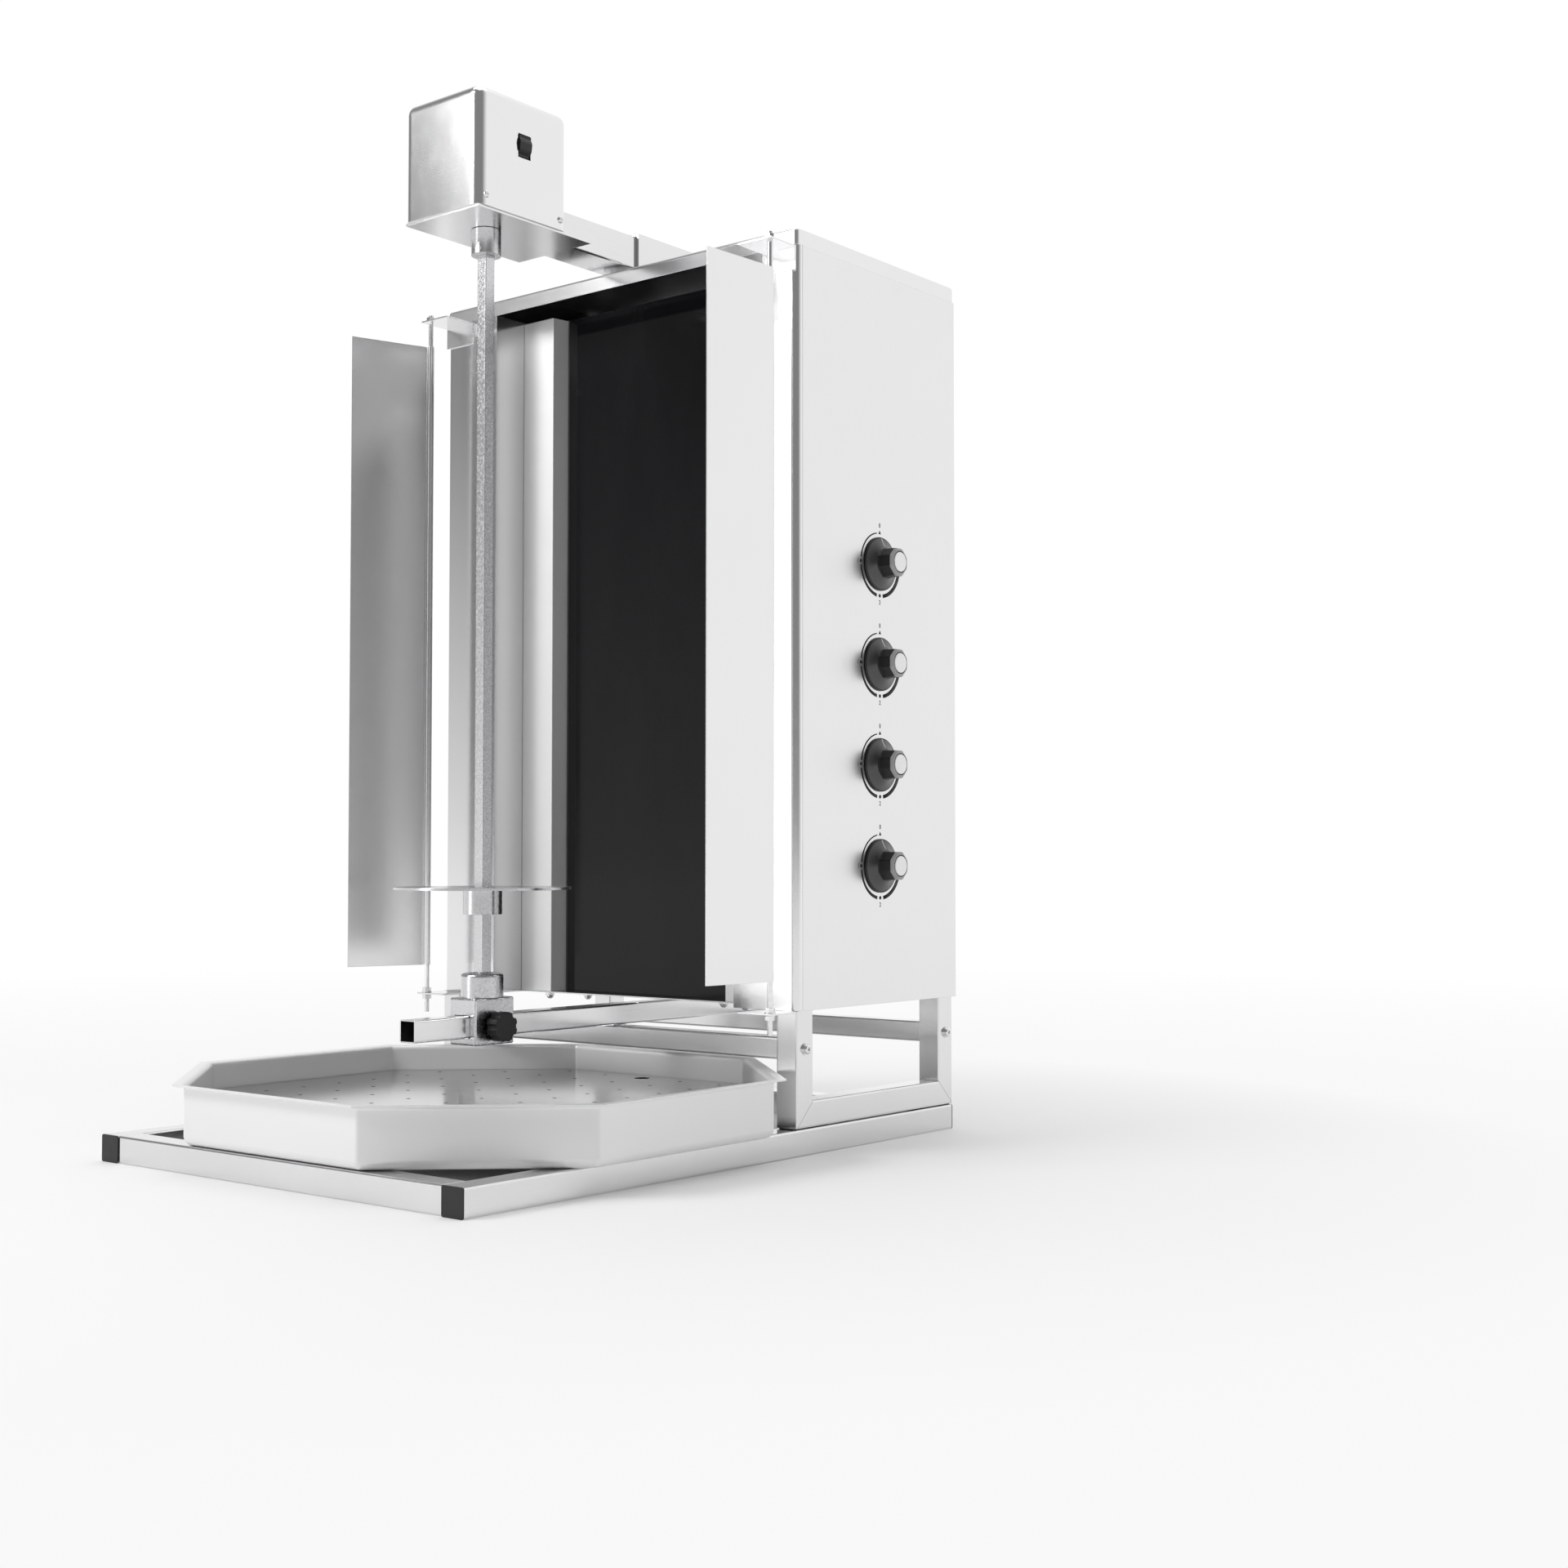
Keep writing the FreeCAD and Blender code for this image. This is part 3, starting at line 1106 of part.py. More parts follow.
def arm_guide():
    y0, y1 = "front + guide_ahead", "front + guide_ahead + guide_length"
    arm_low = "roof_top + guide_wall + arm_play"
    top = f"{arm_low} + arm_height + arm_play + guide_wall"
    block = span("guide_block", ("-guide_half", y0, "roof_top"), ("guide_half", y1, top))
    soft = rounded("guide_soft", block, "tube_round", along("y"))
    space = span("guide_space", ("-(arm_width / 2 + arm_play)", f"{y0} - 1", "roof_top + guide_wall"),
                 ("arm_width / 2 + arm_play", f"{y1} + 1", f"{arm_low} + arm_height + arm_play"))
    return keep(cut("guide", soft, space), "arm_guide")


ARM_LOW = "roof_top + guide_wall + arm_play"


def motor_arm():
    low = ("-arm_width / 2", "spit_y + head_length", ARM_LOW)
    high = ("arm_width / 2", "arm_end", f"{ARM_LOW} + arm_height")
    return keep(square_tube("arm", low, high, "y", "arm_wall"), "motor_arm")


def motor_plate():
    low = ("-(head_half - 2)", "spit_y - head_length + 2", f"{ARM_LOW} - plate_thick")
    high = ("head_half - 2", "spit_y + head_length + plate_tail", ARM_LOW)
    hole = rod("plate_hole", "output_radius + 1", "plate_thick + 2",
               ("0", "spit_y", f"{ARM_LOW} - plate_thick - 1"))
    return keep(cut("plate", span("plate_block", low, high), hole), "motor_plate")


def motor_cover():
    low = ("-head_half", "spit_y - head_length", ARM_LOW)
    high = ("head_half", "spit_y + head_length", "head_top")
    block = rounded("cover_soft", span("cover_block", low, high), "head_round",
                    lambda edge: edge.BoundBox.ZMax > dim("roof_top") + 20)
    space = span("cover_space",
                 ("-(head_half - head_sheet)", "spit_y - head_length + head_sheet", "roof_top"),
                 ("head_half - head_sheet", "spit_y + head_length - head_sheet", "head_top - head_sheet"))
    soft_space = rounded("cover_space_soft", space, "head_inner_round",
                         lambda edge: edge.BoundBox.ZMax > dim("roof_top") + 20)
    half_y, half_z = "(rocker_width / 2 + rocker_play)", "(rocker_height / 2 + rocker_play)"
    window = span("rocker_window", ("head_half - 6", f"spit_y - {half_y}", f"rocker_level - {half_z}"),
                  ("head_half + 2", f"spit_y + {half_y}", f"rocker_level + {half_z}"))
    return keep(cut("cover", block, soft_space, window), "motor_cover")


def gear_motor():
    top = f"{ARM_LOW} + gearbox_height"
    gearbox = span("gearbox", ("-gearbox_half", "spit_y - gearbox_length", ARM_LOW),
                   ("gearbox_half", "spit_y + gearbox_length", top))
    soft = rounded("gearbox_soft", gearbox, "tube_round", along("z"))
    motor = rod("motor_can", "motor_radius", "motor_length", ("0", "spit_y", top))
    bore = rod("gearbox_bore", "output_radius + 0.05", "gearbox_height - 5",
               ("0", "spit_y", f"{ARM_LOW} - 1"))
    return keep(cut("gear_motor_bored", fuse("gear_motor_solid", soft, motor), bore), "gear_motor")


def drive_socket():
    base = f"{ARM_LOW} - plate_thick - 0.5"
    barrel = rod("socket_barrel", "socket_outer", "socket_height", ("0", "spit_y", f"{base} - socket_height"))
    output = rod("socket_output", "output_radius", "output_length", ("0", "spit_y", base))
    half = "square / 2 + socket_play"
    square = span("socket_square", (f"-({half})", f"spit_y - ({half})", f"{base} - socket_height - 1"),
                  (half, f"spit_y + ({half})", "bar_top + 0.4"))
    return keep(cut("socket", fuse("socket_solid", barrel, output), square), "drive_socket")


def motor_rocker():
    """Rocker of the motor switch, tilted to its off position."""
    width, height = dim("rocker_width"), dim("rocker_height")
    body = Part.makeBox(6, width, height - 2, V(-3, -width / 2, -(height - 2) / 2))
    face = Part.makeCylinder(14, width, V(-10.5, -width / 2, 0), V(0, 1, 0))
    shape = body.common(face.fuse(Part.makeBox(6, width, height, V(-6, -width / 2, -height / 2))))
    item = doc.addObject("Part::Feature", "rocker")
    item.Shape = shape
    item.Placement = FreeCAD.Placement(V(dim("head_half"), dim("spit_y"), dim("rocker_level")),
                                       FreeCAD.Rotation(V(0, 1, 0), dim("rocker_tilt")))
    return keep(item, "motor_rocker")


def build():
    for side, hand in SIDES:
        base_rail(side, hand)
        side_frame(side, hand)
        column_shell(side, hand)
        side_panel(side, hand)
        column_floor(side, hand)
        surround(side, hand)
        side_shield(side, hand)
    base_cross("front", "base_front + plug_plate", "base_front + plug_plate + tube")
    base_cross("rear", "base_rear - plug_plate - tube", "base_rear - plug_plate")
    for end in ("front", "rear"):
        cross_rail(end)
    for number in range(1, 5):
        zone_knob(number)
        knob_cap(number)
    for make in (end_plugs, frame_pads, frame_screws, centre_beam, cable_gland, energy_regulators,
                 terminal_block, heater_floor, ceramic_glass, glass_seal, heater_housing, radiant_heaters,
                 heating_ribbons, insulation_board, rear_cover, dome_nuts, shield_rods, rod_brackets,
                 rod_nuts, drip_tray, tray_insert, spit_shaft, meat_disc, spit_carriage, bearing_cup,
                 carriage_clamp, roof_cover, arm_guide, motor_arm, motor_plate, motor_cover, gear_motor,
                 drive_socket, motor_rocker):
        make()


def check_and_write():
    doc.recompute()
    for item in doc.Objects:
        if "Invalid" in item.State or "Error" in item.State:
            raise RuntimeError(f"{item.Label} did not build: {item.State}")
    for label, item in nodes.items():
        if item.Shape.isNull() or not item.Shape.isValid() or not item.Shape.Solids:
            raise RuntimeError(f"{label} has no valid solid")
    os.makedirs("parts", exist_ok=True)
    for label, item in nodes.items():
        item.Shape.exportStep(f"parts/{label}.step")
    print(len(nodes), "sub-parts written")


build()
check_and_write()
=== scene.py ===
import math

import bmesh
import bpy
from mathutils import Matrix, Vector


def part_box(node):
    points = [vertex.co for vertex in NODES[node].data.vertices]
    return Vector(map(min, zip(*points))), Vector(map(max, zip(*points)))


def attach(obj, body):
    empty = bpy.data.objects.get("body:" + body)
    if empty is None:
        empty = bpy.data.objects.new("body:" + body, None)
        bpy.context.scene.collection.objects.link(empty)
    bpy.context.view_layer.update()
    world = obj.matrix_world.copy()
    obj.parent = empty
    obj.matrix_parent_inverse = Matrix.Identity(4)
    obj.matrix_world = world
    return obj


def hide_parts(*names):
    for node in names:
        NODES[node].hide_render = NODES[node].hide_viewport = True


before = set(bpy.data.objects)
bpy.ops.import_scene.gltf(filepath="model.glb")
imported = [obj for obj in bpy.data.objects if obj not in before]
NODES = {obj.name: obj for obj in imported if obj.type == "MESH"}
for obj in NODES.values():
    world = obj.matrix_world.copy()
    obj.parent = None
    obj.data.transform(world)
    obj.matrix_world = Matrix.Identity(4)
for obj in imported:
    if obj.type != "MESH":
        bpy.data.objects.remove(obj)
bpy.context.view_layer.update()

# The looks of an electric rotisserie oven with an upright spit: an open tube frame, two sheet steel
# columns either side of a black ceramic glass, four zone knobs on the right side, a drip tray and a
# motor head.  Lengths are in metres, in the frame shared with the CAD: +X is the oven's right, -Y its
# front and +Z up.  Only the outlines of knobs, dials, pointers and screws are in millimetres.

MM = 0.001


# ---------------------------------------------------------------------------------------- materials

# Sockets of a Mix node that blends colours.
MIX_FACTOR, MIX_A, MIX_B, MIX_RESULT = 0, 6, 7, 2

# How far a rounded normal agrees with the true one on a flat face and on a sharp edge.
FLAT, SHARP = 0.97, 0.80


def feed(tree, socket, value):
    """Feeds a socket from a constant or from another node's output."""
    if isinstance(value, bpy.types.NodeSocket):
        tree.links.new(value, socket)
    else:
        socket.default_value = value


class Paint:
    """A material under its Principled shader, with short calls for the nodes that feed the shader."""

    def __init__(self, name, colour, **sockets):
        self.data = bpy.data.materials.new(name)
        self.data.use_nodes = True
        self.tree = self.data.node_tree
        self.shader = self.tree.nodes["Principled BSDF"]
        self.put("Base Color", (*colour, 1))
        for socket, value in sockets.items():
            self.put(socket.replace("_", " ").title().replace("Ior", "IOR"), value)

    def put(self, socket, value):
        """Feeds one of the shader's sockets."""
        feed(self.tree, self.shader.inputs[socket], value)

    def node(self, kind, result, settings=(), **inputs):
        """Adds a node and returns the output called result.  Inputs go by name, or by number as i0, i1."""
        made = self.tree.nodes.new("ShaderNode" + kind)
        for name, value in settings:
            setattr(made, name, value)
        for name, value in inputs.items():
            numbered = name[0] == "i" and name[1:].isdigit()
            feed(self.tree, made.inputs[int(name[1:]) if numbered else name], value)
        return made.outputs[result]

    def math(self, operation, a, b=0.0, c=0.0):
        return self.node("Math", 0, [("operation", operation)], i0=a, i1=b, i2=c)

    def ramp(self, value, low, high, to_low, to_high):
        """Maps low..high to to_low..to_high, held at the ends."""
        return self.node("MapRange", 0, [], i0=value, i1=low, i2=high, i3=to_low, i4=to_high)

    def place(self):
        """The point in the object's own frame."""
        return self.node("TexCoord", "Object")

    def noise(self, scale, detail=3.0, roughness=0.55):
        """Noise with this many features to the metre along each axis."""
        stretched = self.node("Mapping", 0, [], Vector=self.place(), Scale=scale)
        return self.node("TexNoise", "Fac", [], Vector=stretched, Scale=1.0, Detail=detail,
                         Roughness=roughness)

    def mix(self, factor, a, b):
        """A colour between a and b; both may be colours or outputs."""
        made = self.tree.nodes.new("ShaderNodeMix")
        made.data_type = "RGBA"
        for socket, value in ((MIX_FACTOR, factor), (MIX_A, a), (MIX_B, b)):
            feed(self.tree, made.inputs[socket], (*value, 1) if isinstance(value, tuple) else value)
        return made.outputs[MIX_RESULT]

    def edges(self, radius):
        """1 on sharp edges and 0 on flat faces, over a band this wide."""
        rounded = self.node("Bevel", 0, [("samples", 4)], Radius=radius)
        true = self.node("NewGeometry", "Normal")
        both = self.node("VectorMath", "Value", [("operation", "DOT_PRODUCT")], i0=rounded, i1=true)
        return self.ramp(both, FLAT, SHARP, 0.0, 1.0)

    def bump(self, height, distance, strength=1.0, radius=0.0):
        """Puts a height on the surface, and rounds its sharp edges by radius where that is given."""
        inputs = {"Height": height, "Distance": distance, "Strength": strength}
        if radius:
            inputs["Normal"] = self.node("Bevel", 0, [("samples", 6)], Radius=radius)
        self.put("Normal", self.node("Bump", 0, [], **inputs))


def shade(colour, factor):
    """The colour made darker or lighter."""
    return tuple(c * factor for c in colour)


# Grain: few features to the metre along one axis, and very many across it.
ALONG_X, ALONG_Y, ALONG_Z = (24, 2600, 2600), (2600, 24, 2600), (2600, 2600, 24)
GRAIN_DETAIL, GRAIN_ROUGHNESS = 5.0, 0.65
GRAIN_DEPTH = 0.000004
ROLLED_EDGE = 0.0006

# Painted shade: the near black given to the upright faces of a punched sheet, for the shade down its
# holes.
HOLE_SHADE = (0.015, 0.015, 0.016)
SEAM = (0.20, 0.20, 0.205)
SEAM_INNER, SEAM_OUTER, SEAM_STRENGTH = 0.0003, 0.0010, 0.5


def brushed(name, colour, roughness, grain, spread=0.02, shaded_holes=False, metal=1.0, mitre=None):
    """Rolled or ground steel: fine lines along one axis, faint clouds, and sharp edges painted lighter as
    a highlight.

    For a punched sheet, upright faces are painted dark as shade: the shade seen down its holes and along
    its outer edge, where its edges also get no painted highlight.  With mitre, the Y of both ends and the
    lowest Z of a U of tube, the grain follows its posts and its bar up to the joints between them, and
    each joint shows as a thin dark seam.
    """
    paint = Paint(name, colour, metallic=metal)
    lines = paint.noise(grain, GRAIN_DETAIL, GRAIN_ROUGHNESS)
    if mitre:
        front, back, bottom = mitre
        spot = paint.place()
        y = paint.node("SeparateXYZ", "Y", [], Vector=spot)
        z = paint.node("SeparateXYZ", "Z", [], Vector=spot)
        inward = paint.math("MINIMUM", paint.math("SUBTRACT", y, front),
                            paint.math("SUBTRACT", back, y))
        past = paint.math("SUBTRACT", paint.math("SUBTRACT", z, bottom), inward)
        post = paint.math("GREATER_THAN", past, 0.0)
        uprights = paint.noise(ALONG_Z, GRAIN_DETAIL, GRAIN_ROUGHNESS)
        lines = paint.math("ADD", paint.math("MULTIPLY", post, uprights),
                           paint.math("MULTIPLY", paint.math("SUBTRACT", 1.0, post), lines))
        seam = paint.ramp(paint.math("ABSOLUTE", past), SEAM_INNER, SEAM_OUTER, SEAM_STRENGTH, 0.0)
    clouds = paint.noise((5, 5, 5), 3.0, 0.5)
    marks = paint.noise((55, 55, 38), 4.0, 0.7)
    tone = paint.math("ADD", paint.ramp(lines, 0.3, 0.7, 0.0, 0.6),
                      paint.ramp(clouds, 0.35, 0.65, 0.0, 0.4))
    base = paint.mix(tone, shade(colour, 1 - spread), shade(colour, 1 + spread))
    # Painted highlight: every sharp edge of the steel is made lighter in colour.
    edge_wear_and_highlight = paint.edges(ROLLED_EDGE)
    finish = paint.mix(paint.math("MULTIPLY", edge_wear_and_highlight, 0.0 if shaded_holes else 0.55), base, shade(colour, 1.12))
    if mitre:
        finish = paint.mix(seam, finish, SEAM)
    # Upright faces painted near black: painted shade down the punched holes and along the sheet's outer
    # edge.
    if shaded_holes:
        facing = paint.node("SeparateXYZ", "Z", [], Vector=paint.node("NewGeometry", "True Normal"))
        shade_in_holes = paint.ramp(paint.math("ABSOLUTE", facing), 0.3, 0.6, 1.0, 0.0)
        finish = paint.mix(shade_in_holes, finish, HOLE_SHADE)
    paint.put("Base Color", finish)
    rough = paint.ramp(lines, 0.3, 0.7, roughness * 0.9, roughness * 1.1)
    smudge = paint.ramp(marks, 0.52, 0.74, 0.0, roughness * 0.15)
    paint.put("Roughness", paint.math("ADD", rough, smudge))
    paint.bump(lines, GRAIN_DEPTH, 0.6, ROLLED_EDGE)
    return paint.data


def turned_steel(name, colour, roughness):
    """Bright turned steel with faint rings round Z and a few handling marks."""
    paint = Paint(name, colour, metallic=1.0)
    rings = paint.noise((60, 60, 3000), 2.0, 0.5)
    marks = paint.noise((300, 300, 300), 4.0, 0.7)
    tone = paint.ramp(rings, 0.3, 0.7, 0, 1)
    paint.put("Base Color", paint.mix(tone, shade(colour, 0.94), shade(colour, 1.04)))
    paint.put("Roughness", paint.ramp(marks, 0.35, 0.75, roughness * 0.7, roughness * 1.5))
    paint.bump(rings, 0.000008, 0.5, 0.0004)
    return paint.data


def black_glass(name):
    """Ceramic glass: deep black and polished, with a fine orange-peel and a little haze from cleaning."""
    paint = Paint(name, (0.008, 0.008, 0.009), ior=1.5, specular_ior_level=0.22)
    waves = paint.noise((28, 28, 28), 2.0, 0.5)
    haze = paint.noise((9, 9, 3), 5.0, 0.65)
    tone = paint.ramp(haze, 0.35, 0.7, 0, 1)
    paint.put("Base Color", paint.mix(tone, (0.006, 0.006, 0.007), (0.009, 0.009, 0.010)))
    paint.put("Roughness", paint.ramp(haze, 0.35, 0.75, 0.05, 0.12))
    paint.bump(waves, 0.00001, 0.4, 0.0006)
    return paint.data


def moulded(name, colour, roughness, coat=0.0):
    """Moulded plastic with a fine spark-eroded grain and rubbed edges."""
    paint = Paint(name, colour, coat_weight=coat, coat_roughness=0.12, ior=1.5)
    fine = paint.noise((1500, 1500, 1500), 2.0, 0.6)
    rubbed = paint.noise((120, 120, 120), 4.0, 0.7)
    edge_wear_and_highlight = paint.math("MULTIPLY", paint.edges(0.0007), paint.ramp(rubbed, 0.4, 0.7, 0.0, 0.5))
    base = paint.mix(fine, shade(colour, 0.85), shade(colour, 1.15))
    lighter = tuple(min(1.0, c * 1.6 + 0.012) for c in colour)
    paint.put("Base Color", paint.mix(edge_wear_and_highlight, base, lighter))
    paint.put("Roughness", paint.ramp(rubbed, 0.3, 0.75, roughness * 0.85, roughness * 1.25))
    paint.bump(fine, 0.000015, 0.5, 0.0003)
    return paint.data


RING_PITCH = 0.0009


def skirt_plastic(name, colour, roughness):
    """Moulded plastic with the fine rings of its turned tool round the piece's own X axis."""
    paint = Paint(name, colour, ior=1.5, specular_ior_level=1.0)
    flat = paint.node("VectorMath", "Vector", [("operation", "MULTIPLY")], i0=paint.place(),
                      i1=(0, 1, 1))
    radius = paint.node("VectorMath", "Value", [("operation", "LENGTH")], i0=flat)
    rings = paint.math("SINE", paint.math("MULTIPLY", radius, 2 * math.pi / RING_PITCH))
    dust = paint.noise((260, 260, 260), 4.0, 0.65)
    paint.put("Base Color", paint.mix(dust, shade(colour, 0.8), shade(colour, 1.25)))
    paint.put("Roughness", paint.ramp(dust, 0.3, 0.7, roughness * 0.85, roughness * 1.2))
    paint.bump(rings, 0.000012, 0.6, 0.0002)
    return paint.data


def fibre(name, colour):
    """Pressed mineral fibre board: matt, with short tangled strands."""
    paint = Paint(name, colour, roughness=0.95, sheen_weight=0.2)
    strands = paint.noise((900, 240, 900), 6.0, 0.75)
    clumps = paint.noise((60, 60, 60), 4.0, 0.6)
    paint.put("Base Color", paint.mix(clumps, shade(colour, 0.82), shade(colour, 1.08)))
    paint.bump(paint.math("ADD", strands, clumps), 0.0006, 0.8)
    return paint.data


def enamel(name, colour, roughness):
    """Sprayed enamel with a light orange-peel."""
    paint = Paint(name, colour, coat_weight=0.3, coat_roughness=0.2)
    peel = paint.noise((380, 380, 380), 2.0, 0.5)
    dust = paint.noise((40, 40, 40), 4.0, 0.65)
    paint.put("Base Color", paint.mix(dust, shade(colour, 0.85), shade(colour, 1.2)))
    paint.put("Roughness", paint.ramp(dust, 0.3, 0.7, roughness * 0.85, roughness * 1.2))
    paint.bump(peel, 0.00006, 0.5, 0.0005)
    return paint.data


def ribbon_alloy(name):
    """Resistance ribbon, oxidised by heat: brown grey with bluish patches."""
    paint = Paint(name, (0.22, 0.18, 0.15), metallic=0.7)
    patches = paint.noise((140, 140, 140), 4.0, 0.6)
    paint.put("Base Color", paint.mix(patches, (0.20, 0.15, 0.12), (0.26, 0.25, 0.27)))
    paint.put("Roughness", paint.ramp(patches, 0.3, 0.7, 0.45, 0.7))
    paint.bump(patches, 0.0001, 0.5)
    return paint.data


STEEL = (0.77, 0.77, 0.775)
LIGHT_STEEL = (0.80, 0.80, 0.805)
TUBE_ROUGHNESS, TUBE_SPREAD = 0.17, 0.045
FRAME_LOW, FRAME_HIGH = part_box("side_frame_right")
MATERIALS = {
    "tube_x": brushed("tube_x", STEEL, TUBE_ROUGHNESS, ALONG_X, spread=TUBE_SPREAD),
    "tube_y": brushed("tube_y", STEEL, TUBE_ROUGHNESS, ALONG_Y, spread=TUBE_SPREAD),
    "mitred": brushed("mitred_tube", STEEL, TUBE_ROUGHNESS, ALONG_Y, spread=TUBE_SPREAD,
                      mitre=(FRAME_LOW.y, FRAME_HIGH.y, FRAME_LOW.z)),
    "sheet_z": brushed("sheet_z", LIGHT_STEEL, 0.15, ALONG_Z, spread=0.015),
    "surround_z": brushed("surround_z", (0.88, 0.88, 0.88), 0.40, ALONG_Z, spread=0.015, metal=0.55),
    "sheet_x": brushed("sheet_x", LIGHT_STEEL, 0.22, ALONG_X),
    "panel_z": brushed("panel_z", LIGHT_STEEL, 0.30, ALONG_Z, spread=0.015),
    "tray_y": brushed("tray_y", (0.86, 0.86, 0.862), 0.34, ALONG_Y, spread=0.012, metal=0.3),
    # The tray insert gets painted shade on its upright faces, down its holes and round its edge.
    "insert_y": brushed("insert_y", (0.56, 0.56, 0.565), 0.16, ALONG_Y, spread=0.015, shaded_holes=True),
    "bright": turned_steel("bright", (0.80, 0.80, 0.81), 0.12),
    "machined": turned_steel("machined", (0.66, 0.66, 0.67), 0.24),
    "zinc": turned_steel("zinc", (0.58, 0.59, 0.60), 0.38),
    "glass": black_glass("black_glass"),
    "black": moulded("black_plastic", (0.003, 0.003, 0.0035), 0.38),
    "skirt": skirt_plastic("skirt_plastic", (0.004, 0.004, 0.0045), 0.26),
    "grip_end": moulded("grip_end", (0.33, 0.33, 0.335), 0.35),
    "cap": moulded("knob_cap", (0.97, 0.97, 0.97), 0.35, coat=0.1),
    "rubber": moulded("black_rubber", (0.028, 0.028, 0.03), 0.62),
    "fibre": fibre("ceramic_fibre", (0.78, 0.76, 0.72)),
    "white": moulded("white_ceramic", (0.80, 0.80, 0.77), 0.35),
    "ribbon": ribbon_alloy("ribbon"),
    "enamel": enamel("motor_paint", (0.10, 0.11, 0.12), 0.4),
    "print": moulded("dial_print", (0.006, 0.006, 0.0065), 0.6),
    "pointer": moulded("pointer_white", (0.95, 0.95, 0.95), 0.4),
}

ZONES = range(1, 5)
NODE_MATERIALS = {
    "tube_y": ["base_rail_left", "base_rail_right", "centre_beam", "arm_guide", "motor_arm"],
    "mitred": ["side_frame_left", "side_frame_right"],
    "tube_x": ["base_cross_front", "base_cross_rear", "front_cross_rail", "rear_cross_rail"],
    "surround_z": ["glass_surround_left", "glass_surround_right"],
    "sheet_z": ["column_shell_left", "column_shell_right", "side_shield_left", "side_shield_right",
                "rear_cover", "heater_housing", "motor_cover"],
    "sheet_x": ["column_floor_left", "column_floor_right", "heater_floor", "roof_cover",
                "motor_plate", "rod_brackets"],
    "panel_z": ["side_panel_left", "side_panel_right"],
    "tray_y": ["drip_tray"],
    "insert_y": ["tray_insert"],
    "bright": ["dome_nuts", "rod_nuts", "frame_screws", "shield_rods"],
    "machined": ["spit_shaft", "meat_disc", "spit_carriage", "bearing_cup", "drive_socket"],
    "glass": ["ceramic_glass"],
    "black": [f"zone_knob_{n}" for n in ZONES] + ["carriage_clamp", "motor_rocker", "cable_gland",
                                                  "energy_regulators", "rail_end_plugs"],
    "cap": [f"knob_cap_{n}" for n in ZONES],
    # The black frame pads sit between each side frame and its base rail; being dark, they also paint in
    # the shade of the gap there.
    "rubber": ["frame_pads", "glass_seal"],
    "fibre": ["insulation_board"],
    "zinc": ["radiant_heaters"],
    "white": ["terminal_block"],
    "ribbon": ["heating_ribbons"],
    "enamel": ["gear_motor"],
}


def dress_nodes():
    """Gives every CAD node its material, and stops where one has none."""
    for key, names in NODE_MATERIALS.items():
        for name in names:
            NODES[name].data.materials.clear()
            NODES[name].data.materials.append(MATERIALS[key])
    dressed = {name for names in NODE_MATERIALS.values() for name in names}
    bare = sorted(set(NODES) - dressed)
    if bare:
        raise SystemExit(f"these CAD nodes have no material: {bare}")


# ------------------------------------------------------------------------------------------- pieces

MERGE = 1e-7
SMOOTH_ANGLE = 35


def link(name, mesh, body, materials, place=(0, 0, 0), smooth=SMOOTH_ANGLE):
    """Makes a mesh into a piece that rides on a body and takes the finishes listed for it."""
    for material in materials:
        mesh.materials.append(MATERIALS[material])
    piece = bpy.data.objects.new(name, mesh)
    piece.location = place
    bpy.context.collection.objects.link(piece)
    mesh.shade_smooth()
    if smooth:
        mesh.set_sharp_from_angle(angle=math.radians(smooth))
    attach(piece, body)
    return piece


def clean(mesh):
    """Merges corners that coincide and points every face outwards."""
    built = bmesh.new()
    built.from_mesh(mesh)
    bmesh.ops.remove_doubles(built, verts=built.verts, dist=MERGE)
    bmesh.ops.recalc_face_normals(built, faces=built.faces)
    built.to_mesh(mesh)
    built.free()
    return mesh


def turned(name, rings, count=96):
    """A closed shell round X.  A ring is (x, radius, shape, material), in mm.

    The shape turns a radius to a section; the material is the place in the piece's list of the finish
    of the band that leads up to the ring.
    """
    points, faces, paints = [], [], []
    for x, radius, shape, _ in rings:
        for k in range(count):
            turn = 2 * math.pi * k / count
            r = shape(radius, turn) * MM
            points.append((x * MM, r * math.sin(turn), r * math.cos(turn)))
    for n in range(len(rings) - 1):
        for k in range(count):
            a, b = n * count + k, n * count + (k + 1) % count
            faces.append((a, b, b + count, a + count))
            paints.append(rings[n + 1][3])
    for first, ring in ((0, 0), ((len(rings) - 1) * count, -1)):
        faces.append(tuple(range(first, first + count)))
        paints.append(rings[ring][3])
    mesh = bpy.data.meshes.new(name)
    mesh.from_pydata(points, [], faces)
    for face, paint in zip(mesh.polygons, paints):
        face.material_index = paint
    return clean(mesh)


def circle(radius, turn):
    return radius


CORNER_REACH = 1.068


def octagon(radius, turn):
    """Eight flats whose distance from the axis is radius, with corners slightly rounded."""
    past = (turn + math.pi / 8) % (math.pi / 4) - math.pi / 8
    return min(radius / math.cos(past), radius * CORNER_REACH)


def between(share):
    """A section part of the way from a circle to an octagon."""
    return lambda radius, turn: radius + share * (octagon(radius, turn) - radius)


def hexagon(radius, turn):
    """Six flats whose distance from the axis is radius."""
    return radius / math.cos((turn + math.pi / 6) % (math.pi / 3) - math.pi / 6)


